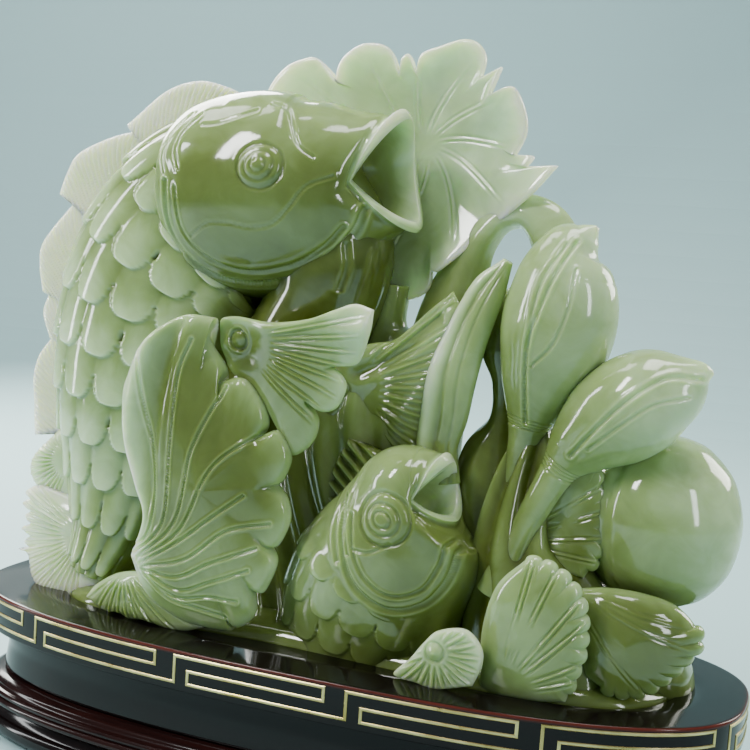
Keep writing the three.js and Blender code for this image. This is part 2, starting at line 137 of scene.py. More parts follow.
def blend(low, high, value):
    """0 below low, 1 above high and smooth between them."""
    share = np.clip((value - low) / (high - low), 0, 1)
    return share * share * (3 - 2 * share)


def bump(distance, width):
    return np.exp(-(distance / width) ** 2)


def distance_to(x, z, knots, count=90):
    """Distance in the XZ plane from each point to a smooth line through knots (x, z)."""
    path = smooth_path([(kx, 0, kz) for kx, kz in knots], count)
    nearest = np.full(x.shape, 1e9)
    for px, _, pz in path:
        nearest = np.minimum(nearest, (x - px) ** 2 + (z - pz) ** 2)
    return np.sqrt(nearest)


def engraved(x, z, knots, width=0.6, depth=0.6):
    """A cut line with a soft raised lip on both sides."""
    gap = distance_to(x, z, knots)
    return -depth * bump(gap, width) + 0.35 * depth * bump(gap - 2 * width, width)


def engravings(x, z, lines):
    """Several engraved lines together, each given as its knots, width and depth."""
    return sum(engraved(x, z, knots, width, depth) for knots, width, depth in lines)


def loft(stations, rows, columns, facing=1):
    """A rounded body along a curve in the XZ plane. A station is (x, y, z, half width, half depth)."""
    stations = np.asarray(stations, float)
    centre = smooth_path(stations[:, :3], rows)
    size = np.maximum(smooth_path(np.c_[stations[:, 3:], 0 * stations[:, 0]], rows), 0.2)
    along = np.gradient(centre, axis=0) * facing
    side = np.stack([-along[:, 2], 0 * along[:, 0], along[:, 0]], axis=1)
    side /= np.linalg.norm(side, axis=1)[:, None]
    turn = np.linspace(0, 2 * math.pi, columns, endpoint=False)
    grid = centre[:, None] + side[:, None] * (size[:, 0, None] * np.cos(turn))[..., None]
    grid[..., 1] += size[:, 1, None] * np.sin(turn)
    return grid, turn


def displaced(grid, height):
    """The grid moved along its outward normals by a height for each point."""
    down = np.gradient(grid, axis=0)
    around = np.roll(grid, -1, axis=1) - np.roll(grid, 1, axis=1)
    normal = np.cross(down, around)
    normal /= np.linalg.norm(normal, axis=2)[..., None] + 1e-12
    if np.sum(normal * (grid - grid.mean(axis=1, keepdims=True))) < 0:
        normal = -normal
    return grid + normal * height[..., None]


def leaf(heart, outline, thick, rim, rows=70, bend=None, relief=None, back_relief=0.6):
    """A leaf from a heart point to a closed outline. Returns its grid and each point's reach, 0 to 1."""
    heart = np.asarray(heart, float)
    window = len(outline) // 12
    calm = sum(np.roll(outline, shift, axis=0) for shift in range(-window, window + 1)) / (2 * window + 1)

    def side(count, facing, strength):
        reach = 1 - (1 - np.linspace(0.02, 1, count)) ** 1.3
        edge = outline + (calm - outline) * blend(1.0, 0.65, reach)[:, None, None]
        middle = heart + (edge - heart) * reach[:, None, None]
        edge_fade = np.sqrt(1 - np.minimum(reach, 1) ** 40)[:, None]
        thickness = (rim + (thick - rim) * (1 - reach[:, None] ** 5)) * edge_fade
        if bend is not None:
            middle[..., 1] += bend(middle[..., 0], middle[..., 2], reach[:, None])
        raised = 0 if relief is None else relief(middle[..., 0], middle[..., 2], reach[:, None])
        middle[..., 1] += facing * (thickness / 2 + strength * raised * edge_fade)
        return middle, np.repeat(reach[:, None], len(outline), axis=1)

    front, front_reach = side(rows, -1, 1)
    back, back_reach = side(rows // 3, 1, back_relief)
    return np.concatenate([front, back[::-1][1:]]), np.concatenate([front_reach, back_reach[::-1][1:]])


def fin_strip(root, edge, thick, rim, rays, slant, rows=420, columns=36, ray_depth=0.35):
    """A fin between its root and its free edge, with fine rays. Rows run along it."""
    inner = even(smooth_path(root, 400), rows)
    outer = edge if len(edge) == rows else even(smooth_path(edge, 400), rows)
    reach = 1 - (1 - np.linspace(0, 1, columns)) ** 1.6
    middle = inner[:, None] + (outer - inner)[:, None] * reach[:, None]
    place = np.linspace(0, 1, rows)[:, None]
    wave = np.cos(2 * math.pi * rays * (place + slant * reach))
    raised = ray_depth * wave * blend(0.05, 0.3, reach) * blend(1.0, 0.9, reach)
    half = (rim + (thick - rim) * (1 - reach)) / 2 * np.sqrt(1 - reach ** 20)
    front = middle.copy()
    front[..., 1] -= half + raised
    back = middle.copy()
    back[..., 1] += half + raised
    grid = np.concatenate([front, back[:, ::-1][:, 1:]], axis=1)
    spread = np.concatenate([reach, reach[::-1][1:]])
    ridges = np.concatenate([raised, raised[:, ::-1][:, 1:]], axis=1)
    return grid, np.repeat(spread[None], rows, axis=0), ridges


# ---- Meshes ------------------------------------------------------------------------------------------
def grid_mesh(name, grid, tint):
    """A closed smooth mesh from a grid whose columns close on themselves. Its ends close to a point."""
    rows, columns = grid.shape[:2]
    points = np.vstack([grid.reshape(-1, 3), grid[0].mean(axis=0), grid[-1].mean(axis=0)])
    tints = np.concatenate([tint.reshape(-1), [tint[0].mean(), tint[-1].mean()]])
    here = np.arange((rows - 1) * columns).reshape(rows - 1, columns)
    quads = np.stack([here, np.roll(here, -1, axis=1), np.roll(here, -1, axis=1) + columns,
                      here + columns], axis=2).reshape(-1, 4)
    ring = np.arange(columns)
    first, last = rows * columns, rows * columns + 1
    start = np.stack([np.full(columns, first), np.roll(ring, -1), ring], axis=1)
    base = (rows - 1) * columns
    end = np.stack([np.full(columns, last), base + ring, base + np.roll(ring, -1)], axis=1)
    a, b, c, d = (points[quads[:, i]] for i in range(4))
    if np.sum(a * np.cross(b, c)) + np.sum(a * np.cross(c, d)) < 0:
        quads, start, end = quads[:, ::-1], start[:, ::-1], end[:, ::-1]
    mesh = bpy.data.meshes.new(name)
    mesh.vertices.add(len(points))
    mesh.vertices.foreach_set("co", (points * MM).ravel())
    corners = np.concatenate([quads.ravel(), start.ravel(), end.ravel()])
    sizes = np.concatenate([np.full(len(quads), 4), np.full(2 * columns, 3)])
    mesh.loops.add(len(corners))
    mesh.loops.foreach_set("vertex_index", corners)
    mesh.polygons.add(len(sizes))
    mesh.polygons.foreach_set("loop_start", np.concatenate([[0], np.cumsum(sizes)[:-1]]))
    mesh.polygons.foreach_set("loop_total", sizes)
    mesh.update(calc_edges=True)
    mesh.attributes.new("tint", "FLOAT", "POINT").data.foreach_set("value", tints)
    mesh.polygons.foreach_set("use_smooth", np.ones(len(sizes), bool))
    return mesh


def add_piece(name, grid, tint, material, slot, body, *nodes):
    tint = np.broadcast_to(np.asarray(tint, float), grid.shape[:2])
    mesh = grid_mesh(name, grid, tint)
    mesh.materials.append(material)
    piece = bpy.data.objects.new(name, mesh)
    bpy.context.scene.collection.objects.link(piece)
    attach(piece, body)
    if nodes:
        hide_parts(*nodes)
    return piece


# ---- Materials ---------------------------------------------------------------------------------------
def new_material(name):
    material = bpy.data.materials.new(name)
    material.use_nodes = True
    nodes = material.node_tree.nodes
    return material, nodes, material.node_tree.links, nodes["Principled BSDF"]


def noise(nodes, links, coordinates, scale, detail, distortion=0.0):
    texture = nodes.new("ShaderNodeTexNoise")
    texture.inputs["Scale"].default_value = scale
    texture.inputs["Detail"].default_value = detail
    texture.inputs["Distortion"].default_value = distortion
    links.new(coordinates, texture.inputs["Vector"])
    return texture.outputs["Fac"]


def weighted(nodes, links, value, factor, offset):
    node = nodes.new("ShaderNodeMath")
    node.operation = "MULTIPLY_ADD"
    links.new(value, node.inputs[0])
    node.inputs[1].default_value = factor
    if isinstance(offset, float):
        node.inputs[2].default_value = offset
    else:
        links.new(offset, node.inputs[2])
    return node.outputs[0]


def ramp(nodes, links, value, stops):
    node = nodes.new("ShaderNodeValToRGB")
    elements = node.color_ramp.elements
    while len(elements) < len(stops):
        elements.new(0.5)
    for element, (position, colour) in zip(elements, stops):
        element.position = position
        element.color = (*colour, 1)
    links.new(value, node.inputs["Fac"])
    return node.outputs["Color"]


def jade_material():
    material, nodes, links, shader = new_material("jade")
    coordinates = nodes.new("ShaderNodeTexCoord").outputs["Object"]
    # The tint attribute carries the stone's tone together with painted light and shade: a paler painted glow
    # at thin rims and lips, lighter tops, lit sides and raised ridges, darker hollows and undersides.
    tint = nodes.new("ShaderNodeAttribute")
    tint.attribute_name = "tint"
    clouds = noise(nodes, links, coordinates, 22, 3, 0.8)
    wisps = noise(nodes, links, coordinates, 55, 6, 2.5)
    value = weighted(nodes, links, clouds, 0.50, tint.outputs["Fac"])
    value = weighted(nodes, links, wisps, 0.20, value)
    value = weighted(nodes, links, value, 1.0, -0.35)
    colour = ramp(nodes, links, value, [
        (0.0, (0.085, 0.108, 0.012)), (0.25, (0.165, 0.222, 0.055)), (0.5, (0.31, 0.42, 0.16)),
        (0.75, (0.56, 0.71, 0.40)), (1.0, (0.90, 1.0, 0.74))])
    links.new(colour, shader.inputs["Base Color"])
    shader.inputs["Subsurface Weight"].default_value = 1.0
    shader.inputs["Subsurface Radius"].default_value = (0.9, 1.0, 0.5)
    shader.inputs["Subsurface Scale"].default_value = 0.005
    shader.inputs["IOR"].default_value = 1.68
    polish = noise(nodes, links, coordinates, 240, 4)
    links.new(weighted(nodes, links, polish, 0.10, 0.04), shader.inputs["Roughness"])
    waves = nodes.new("ShaderNodeBump")
    waves.inputs["Strength"].default_value = 0.12
    waves.inputs["Distance"].default_value = 0.0006
    links.new(noise(nodes, links, coordinates, 120, 2), waves.inputs["Height"])
    links.new(waves.outputs["Normal"], shader.inputs["Normal"])
    return material


def lacquer_material():
    material, nodes, links, shader = new_material("lacquer")
    coordinates = nodes.new("ShaderNodeTexCoord").outputs["Object"]
    stretch = nodes.new("ShaderNodeMapping")
    stretch.inputs["Scale"].default_value = (4, 40, 40)
    links.new(coordinates, stretch.inputs["Vector"])
    grain = noise(nodes, links, stretch.outputs["Vector"], 6, 8, 1.2)
    edge = nodes.new("ShaderNodeAttribute")
    edge.attribute_name = "tint"
    value = weighted(nodes, links, grain, 0.30, edge.outputs["Fac"])
    colour = ramp(nodes, links, value, [
        (0.0, (0.004, 0.003, 0.003)), (0.22, (0.007, 0.004, 0.004)), (0.45, (0.035, 0.009, 0.007)),
        (1.0, (0.14, 0.025, 0.016))])
    links.new(colour, shader.inputs["Base Color"])
    shader.inputs["IOR"].default_value = 1.30
    shader.inputs["Coat Weight"].default_value = 0.08
    shader.inputs["Coat Roughness"].default_value = 0.04
    smears = noise(nodes, links, coordinates, 30, 5, 0.5)
    links.new(weighted(nodes, links, smears, 0.14, 0.07), shader.inputs["Roughness"])
    return material


def brass_material():
    material, nodes, links, shader = new_material("brass")
    coordinates = nodes.new("ShaderNodeTexCoord").outputs["Object"]
    patches = noise(nodes, links, coordinates, 90, 4, 0.5)
    colour = ramp(nodes, links, patches, [(0.3, (0.45, 0.33, 0.10)), (0.7, (0.86, 0.72, 0.34))])
    links.new(colour, shader.inputs["Base Color"])
    shader.inputs["Metallic"].default_value = 1.0
    links.new(weighted(nodes, links, patches, 0.2, 0.2), shader.inputs["Roughness"])
    return material


JADE = jade_material()
LACQUER = lacquer_material()
BRASS = brass_material()


def carve(name, grid, tint, *nodes, slot="jade"):
    return add_piece(name, grid, tint, JADE, slot, "carving", *nodes)


# ---- Carved details ----------------------------------------------------------------------------------
def eye(x, z, centre, size):
    """A domed eye with two rings cut around the pupil."""
    ring = np.hypot((x - centre[0]) / 1.08, z - centre[1]) / size
    dome = 1.6 * np.exp(-(ring / 0.95) ** 6) + 1.0 * np.exp(-(ring / 0.62) ** 6)
    dome += 0.7 * np.exp(-(ring / 0.3) ** 6)
    cuts = 1.0 * bump(ring - 1.02, 0.07) + 0.8 * bump(ring - 0.63, 0.06) + 0.7 * bump(ring - 0.32, 0.05)
    return size / 8.4 * (dome - cuts)


def scales(along, around, length, width, height=1.3):
    """Overlapping U-shaped scales. Each one starts under the scale nearer the head, which it follows."""
    row = along / length
    column = around / width
    result = np.full(along.shape, -1.0)
    for back in (0, 1, 2):
        scale_row = np.floor(row) - back
        shift = 0.5 * np.mod(scale_row, 2)
        for side in (-1, 0, 1):
            centre = np.round(column - shift) + shift + side
            across = (column - centre) / 0.54
            tip = (row - scale_row) / 1.55
            inside = np.abs(across) ** 3.2 + np.maximum(tip, 0) ** 3.6
            tilt = 0.30 + 0.70 * tip - 0.30 * across ** 2
            soft = blend(1.0, 0.84, inside)
            value = tilt * soft - 0.9 * (1 - soft)
            result = np.where((inside < 1) & (value > result), value, result)
    return height * np.clip(result, -0.6, 1)


def rays(x, z, focus, angles, width=0.7, depth=0.5, start=0.0, swirl=0.0, swirl_reach=30.0):
    """Double cut lines that run out from a focus at the given angles in degrees, bent near the focus."""
    dx, dz = x - focus[0], z - focus[1]
    radius = np.hypot(dx, dz) + 1e-6
    turn = np.degrees(np.arctan2(dz, dx)) + swirl * np.exp(-radius / swirl_reach)
    near = blend(start, start + 6, radius)
    relief = 0 * x
    for angle in angles:
        off = np.abs((turn - angle + 180) % 360 - 180)
        gap = np.radians(off) * radius
        relief = relief + near * depth * (0.7 * bump(gap, width * 0.6) - bump(gap - width * 1.6, width * 0.8))
    return relief


def open_mouth(outer, inner, rows, throat_rows, columns, gape, away, corner, far, lean=0.0):
    """A head and its throat. The near lips are pulled back into a notch whose corner is at one height."""
    shell, turn = loft(outer, rows, columns)
    throat, _ = loft(inner, throat_rows, columns, facing=-1)
    shell_place = np.linspace(0, 1, rows)[:, None]
    throat_place = np.linspace(0, 1, throat_rows)[:, None]
    height = np.cos(turn)
    notch = np.where(height > corner, (1 - height) / (1 - corner), ((1 + height) / (1 + corner)) ** 0.7)
    notch = gape * np.where(np.sin(turn) < 0, notch, far * np.sin(turn) ** 2)
    shell += (notch * blend(0.66, 1.0, shell_place) ** 1.3)[..., None] * away
    throat += (notch * blend(1.0, 0.1, throat_place))[..., None] * away
    shell[..., 0] += lean * height * blend(0.7, 1.0, shell_place)
    throat[..., 0] += lean * height * blend(1.0, 0.2, throat_place)
    return shell, throat, shell_place, throat_place, turn


# ---- Big carp ----------------------------------------------------------------------------------------
def big_carp_head():
    outer = [(-77, -3, 219, 5, 9), (-76, -3, 219.5, 13, 18), (-72, -4, 220, 25, 26), (-62, -4, 221.5, 35, 31),
             (-48, -5, 221.5, 38, 33), (-34, -5, 222, 38.5, 33), (-20, -5, 224, 36, 31),
             (-8, -5, 227.5, 30.5, 27),
             (4, -5, 230.5, 24, 22), (13, -5, 232.5, 21, 18), (18.5, -5, 233.5, 20.5, 16)]
    inner = [(18.5, -5, 233.5, 18.3, 13.6), (11, -5, 232.5, 17, 13), (0, -5, 231, 14, 12),
             (-12, -5, 230, 7, 8)]
    shell, throat, place, throat_place, turn = open_mouth(outer, inner, 320, 90, 300, 18.5,
                                                          np.array([-1.0, 0, 0]), -0.27, 0.25)
    x, z = shell[..., 0], shell[..., 2]
    side = blend(0.1, 0.4, -np.sin(turn)) + 0.4 * blend(0.2, 0.5, np.sin(turn))
    cuts = engravings(x, z, [
        ([(-66, 224), (-64, 206), (-52, 193), (-36, 189.5), (-18, 192.5), (-5, 200), (4, 211),
          (7, 219)], 0.9, 1.5),
        ([(-61, 222), (-58, 207), (-48, 197.5), (-34, 194), (-18, 197), (-6, 204), (1, 212)], 0.6, 0.9),
        ([(-54, 205), (-46, 210), (-38, 210.5), (-29, 209.5), (-21, 211.5), (-15, 218), (-10, 225),
          (-2, 229)], 0.5, 0.5),
        ([(-54, 245), (-46, 246), (-34, 251)], 0.5, 0.5),
        ([(-30, 254), (-24, 252), (-20, 247), (-15, 239), (-9, 235)], 0.5, 0.5),
        ([(-62, 249), (-68, 241), (-70, 234), (-67, 227)], 0.6, 0.9),
        ([(-57, 249), (-62, 242), (-63, 235), (-60, 229)], 0.6, 0.9)])
    lip = 1.5 * bump(place - 0.975, 0.022) - 0.5 * bump(place - 0.90, 0.025)
    shell = displaced(shell, (cuts + eye(x, z, (-27, 231), 7.6)) * side + lip)
    # Lighter towards the top and the left and darker underneath: painted light from the upper left and
    # painted shade below. Paler towards the lip rim: painted glow of light through the thin lip.
    shell_tint = 0.20 + 0.30 * blend(225, 258, z) - 0.10 * blend(215, 190, z) + 0.22 * blend(-50, -75, x)
    shell_tint = shell_tint + 0.22 * np.abs(cuts) * side + 0.45 * blend(0.88, 0.975, place)
    # Paler at the lip and darker deeper in: painted shade inside the open mouth.
    throat_painted_shade = 0.90 - 0.55 * blend(0, 0.7, throat_place) + 0 * throat[..., 0]
    grid = np.concatenate([shell, throat])
    carve("big_carp_head_carved", grid, np.concatenate([shell_tint, throat_painted_shade]), "big_carp_head")


def big_carp_body():
    stations = [(-30, -1, 214, 30, 16), (-44, -1, 215, 38, 18), (-58, -1, 211, 42, 21), (-71, 0, 199, 44, 25),
                (-81, 2, 181, 45, 28), (-87, 3, 158, 43, 29), (-90, 2, 133, 37.5, 27), (-92, -1, 110, 29, 22),
                (-94, -6, 89, 19.5, 17), (-99, -12, 71, 11, 12)]
    grid, turn = loft(stations, 420, 260)
    centre = smooth_path(np.asarray(stations, float)[:, :3], 420)
    along = np.concatenate([[0], np.cumsum(np.linalg.norm(np.diff(centre, axis=0), axis=1))])
    pattern = scales(*np.broadcast_arrays(along[:, None], (turn / (2 * math.pi) * 14)[None]), length=17,
                     width=1.0, height=3.4)
    belly = blend(0.5, 0.85, np.cos(turn))[None]
    relief = pattern * (1 - 0.9 * belly) * blend(0, 12, along)[:, None]
    grid = displaced(grid, relief)
    x, z = grid[..., 0], grid[..., 2]
    # Raised scales lighter and grooves darker: painted light on the scales and painted shade in the grooves.
    # Lighter towards the left: painted light from the left. Darker on the belly and towards the bottom:
    # painted shade.
    tint = 0.14 + 0.18 * relief + 0.22 * blend(-88, -128, x) - 0.06 * belly - 0.06 * blend(150, 90, z)
    carve("big_carp_body_carved", grid, tint, "big_carp_body")
    breast, turn = loft([(-24, -3, 214, 30, 18), (-13, -3, 203, 25, 22), (-12, -2, 190, 21, 23),
                         (-19, 0, 174, 22, 23), (-32, 1, 150, 23, 22), (-46, 1, 124, 22, 20),
                         (-62, 0, 100, 16, 16)], 200, 160)
    x, z = breast[..., 0], breast[..., 2]
    creases = engraved(x, z, [(1, 206), (2, 198), (0, 190)], 0.8, 1.0)
    tint = 0.06 + 0.25 * np.abs(creases)
    carve("big_carp_breast_carved", displaced(breast, creases), tint, "big_carp_breast")


def big_carp_dorsal_fin():
    root = [(-46, 2, 246), (-74, 2, 238), (-97, 3, 221), (-112, 4, 198), (-119, 4, 170), (-117, 4, 140),
            (-108, 3, 114)]
    lobes = [[(-52, 1, 258), (-61, 0, 262), (-74, 0, 264), (-89, 0, 259.5), (-105, 0, 246.5)],
             [(-105, 0, 246.5), (-102, 1, 244)],
             [(-102, 1, 244), (-112, 0, 241), (-125, -1, 234.5), (-131, -1, 227), (-135.5, -1, 218)],
             [(-135.5, -1, 218), (-129, 0, 214.5)],
             [(-129, 0, 214.5), (-134, 0, 209), (-141, -1, 198), (-142.5, -1, 189), (-142, -1, 178)],
             [(-142, -1, 178), (-139.5, 0, 177)],
             [(-139.5, 0, 177), (-141, -1, 169), (-136, -1, 159)],
             [(-136, 0, 159), (-141, -1, 151), (-143.5, -2, 141), (-143, -2, 129), (-141, -2, 118.5)],
             [(-141, -2, 118.5), (-129, 0, 123)]]
    edge = even(np.vstack([smooth_path(lobe, 60)[:-1] for lobe in lobes]), 560)
    grid, reach, ridges = fin_strip(root, edge, 6, 2.2, 92, 0.10, rows=560, columns=40, ray_depth=0.8)
    grid[..., 1] += 1.2 * np.sin(grid[..., 2] / 6.5) * blend(0.4, 1, reach)
    # Pale all over and paler to the edge: painted glow of back light through the thin fin. Lighter on the
    # raised rays: painted light on the rays and painted shade between them.
    tint = 1.02 + 0.12 * reach + 0.22 * ridges
    carve("big_carp_dorsal_fin_carved", grid, tint, "big_carp_dorsal_fin", slot="pale_jade")


def tail_lobe(name, heart, knots, angles, *nodes, thick=9, rim=3, tint=0.75, ray_depth=0.5):
    outline = corner_path(knots, 420)

    def relief(x, z, reach):
        return rays(x, z, heart[::2], angles, 0.5, ray_depth, start=4) * blend(0.25, 0.5, reach)

    grid, reach = leaf(heart, outline, thick, rim, rows=56, relief=relief)
    # Paler towards the rim: painted glow of light through the thin edge.
    carve(name, grid, tint + 0.2 * reach ** 3, *nodes, slot="pale_jade")


def big_carp_tail():
    tail_lobe("big_carp_tail_upper", (-118, -6, 112),
              [(-112, -4, 128), (-126, -6, 123, "corner"), (-136, -8, 112), (-138, -8, 104),
               (-133, -8, 96.5, "corner"), (-127, -8, 92), (-118, -8, 90, "corner"), (-106, -6, 98)],
              range(140, 260, 8), "big_carp_tail_fin")
    knots = [(-106, -12, 92), (-128, -10, 100)]
    for step, low in enumerate(np.linspace(97, 76, 5)):
        knots += [(-137 - 1.5 * (step % 2), -12, low), (-134, -12, low - 2.6, "corner")]
    knots += [(-138.5, -14, 73, "corner"), (-132, -16, 72), (-128, -18, 64), (-120, -20, 59.5),
              (-104, -20, 59.5), (-94, -18, 66)]
    tail_lobe("big_carp_tail_lower", (-104, -14, 84), knots, range(150, 270, 7), tint=0.78)


def pectoral_fin():
    outline = corner_path([
        (-40, -36, 174), (-34, -39, 178), (-17, -41, 177.5), (-2, -42, 180), (8, -42, 184), (15, -42, 186.5),
        (21.5, -41, 185, "corner"), (20.5, -41, 177), (18, -40, 170), (14.5, -39, 165.5),
        (6, -38, 164, "corner"),
        (10, -39, 161), (11.5, -39, 157), (8.5, -39, 150), (3, -38, 148), (-3, -36, 150, "corner"),
        (1, -36, 144), (-1, -36, 136), (-9, -35, 131), (-15, -34, 140), (-24, -34, 152),
        (-36, -34, 159)], 460)
    knob = (-31, 170)

    def bend(x, z, reach):
        swell = 4.5 * bump(np.hypot(x - knob[0], z - knob[1]), 12)
        return swell + 2.5 * blend(178, 160, z) * blend(-20, 15, x)

    def relief(x, z, reach):
        lines = rays(x, z, knob, [14, 7, 0, -7, -14, -22, -31, -40], 0.5, 0.55, start=14)
        gap = np.hypot(x - knob[0], z - knob[1])
        boss = 1.2 * bump(gap, 2.2) - 0.8 * bump(gap - 3.4, 0.6) + 0.5 * bump(gap - 4.6, 0.7)
        rolled_top = 2.2 * bump(np.maximum(z - 166 - 0.2 * x, 0) - 9, 4) * blend(0.5, 1, reach)
        return lines * blend(1.0, 0.75, reach) + boss + rolled_top

    grid, reach = leaf((-16, -38, 165), outline, 7, 3.4, rows=80, bend=bend, relief=relief)
    x, z = grid[..., 0], grid[..., 2]
    # Paler at the thin rim and darker round the thick knob: painted glow of light through thin stone. It is
    # also lighter towards the top and to the right.
    tint = 0.28 + 0.26 * reach ** 6 + 0.15 * blend(165, 182, z) + 0.24 * blend(-5, 20, x)
    tint -= 0.25 * bump(np.hypot(x + 30, z - 166), 12)
    carve("big_carp_pectoral_fin_carved", grid, tint, "big_carp_pectoral_fin", slot="pale_jade")


def rear_fin():
    outline = corner_path([(-12, -6, 164), (0, -9, 168), (9, -10, 171), (17, -10, 173), (24, -10, 179),
                           (31, -9, 186), (38, -8, 192, "corner"), (42, -7, 184), (40, -7, 168),
                           (38, -7, 150), (36, -7, 130), (20, -8, 122), (0, -8, 126), (-12, -8, 142)], 320)
    knob = (0, 154)

    def ribs(x, z):
        gap = np.hypot(x - knob[0], z - knob[1])
        fan = rays(x, z, knob, range(-48, 60, 9), 0.7, 0.45, start=14)
        long_folds = engraved(x, z, [(6, 160), (20, 168), (34, 182)], 2.2, 1.4)
        return fan + long_folds + 0.9 * bump(gap, 1.6) - 0.7 * bump(gap - 2.8, 0.5)

    grid, _ = leaf((14, -11, 154), outline, 9, 4, rows=90, relief=lambda x, z, reach: ribs(x, z),
                       bend=lambda x, z, reach: -2.5 * np.sin(0.16 * (x - 0.4 * z)))
    x, z = grid[..., 0], grid[..., 2]
    # Lighter towards the top and on the raised ribs: painted light from above and on the ribs, painted shade
    # in their cuts.
    carve("rear_fin_carved", grid, 0.26 + 0.26 * blend(150, 185, z) + 0.06 * ribs(x, z), "rear_fin")


# ---- Leaves ------------------------------------------------------------------------------------------
def front_lotus_leaf():
    outline = corner_path([
        (-43, -39, 170), (-40, -40, 177, "corner"), (-49, -42, 177.5), (-57, -42, 174), (-65, -41, 167),
        (-72, -40, 155), (-74, -40, 146), (-70, -41, 130), (-65, -42, 114), (-62, -42, 102),
        (-67, -41, 87, "corner"), (-60, -40, 74), (-46, -38, 66), (-28, -36, 64.5), (-27, -36, 68, "corner"),
        (-23, -37, 67), (-17, -37, 73), (-17.5, -36, 82, "corner"), (-13, -37, 82.5), (-9.5, -37, 93),
        (-13.5, -36, 98, "corner"), (-9.5, -37, 99.5), (-6.5, -37, 108), (-8, -37, 115),
        (-13, -36, 120, "corner"), (-10, -38, 122.5), (-7.5, -39, 131), (-12.5, -39, 139.5),
        (-20, -37, 137, "corner"), (-17.5, -39, 142), (-20, -40, 149), (-28, -40, 156.5),
        (-38, -37, 154, "corner"), (-36.5, -38, 160)], 500)
    vein_lines = [
        [(-66, 91), (-58, 99), (-57, 120), (-63, 146), (-65, 163)], [(-65, 89), (-52, 103), (-51, 130),
         (-50, 156), (-46, 169)],
        [(-63, 88), (-47, 104), (-42, 131), (-33, 153)], [(-63, 87), (-45, 101), (-34, 125), (-20, 137)],
        [(-62, 86), (-45, 97), (-33, 107), (-22, 116)], [(-61, 85), (-42, 91), (-27, 103), (-12, 107)],
        [(-61, 84), (-45, 84), (-32, 91), (-16, 98)], [(-60, 84), (-45, 79), (-32, 84), (-18, 90)],
        [(-60, 83), (-47, 76), (-33, 78), (-22, 78)], [(-59, 82), (-49, 75), (-38, 73), (-27, 71)]]

    def bend(x, z, reach):
        return 4.0 * blend(95, 170, z) * blend(-68, -20, x) - 3.0 * bump(z - 84, 16) * blend(-70, -40, x)

    def veins(x, z):
        return sum(engraved(x, z, line, 0.5, 0.8) for line in vein_lines)

    def relief(x, z, reach):
        rolled = 4.2 * bump(x + 69 - 0.0035 * (z - 128) ** 2, 4.6) * blend(98, 116, z)
        gully = -1.8 * bump(x + 59 - 0.0035 * (z - 128) ** 2, 3.0) * blend(98, 116, z)
        cupped = 1.6 * reach ** 7
        return veins(x, z) + rolled + gully + cupped

    grid, reach = leaf((-38, -43, 116), outline, 10, 3.6, rows=150, bend=bend, relief=relief)
    x, z = grid[..., 0], grid[..., 2]
    # Paler at the rim and along the rolled left edge: painted glow of light through the thin leaf. It is also
    # a little paler towards the bottom, and the cut veins are paler.
    tint = 0.16 + 0.42 * reach ** 8 + 0.48 * blend(-54, -68, x) + 0.10 * blend(140, 90, z)
    tint += 0.35 * np.abs(veins(x, z))
    carve("front_lotus_leaf_carved", grid, tint, "front_lotus_leaf", slot="pale_jade")


def foot_leaf():
    outline = corner_path([(-95, -28, 64, "corner"), (-88, -31, 71), (-76, -35, 78), (-64, -38, 80),
                           (-50, -39, 75), (-38, -37, 64, "corner"), (-48, -37, 61), (-62, -37, 62.5),
                           (-70, -35, 61, "corner"), (-76, -34, 62.5), (-82, -32, 61, "corner"),
                           (-88, -30, 62)], 320)

    def relief(x, z, reach):
        return rays(x, z, (-72, 82), range(-140, -20, 14), 0.6, 0.6, start=5) * blend(1, 0.8, reach)

    grid, reach = leaf((-66, -37, 70), outline, 10, 3.5, rows=50, relief=relief)
    # Paler towards the rim: painted glow of light through the thin edge.
    carve("foot_leaf_carved", grid, 0.42 + 0.3 * reach ** 4, "foot_leaf")


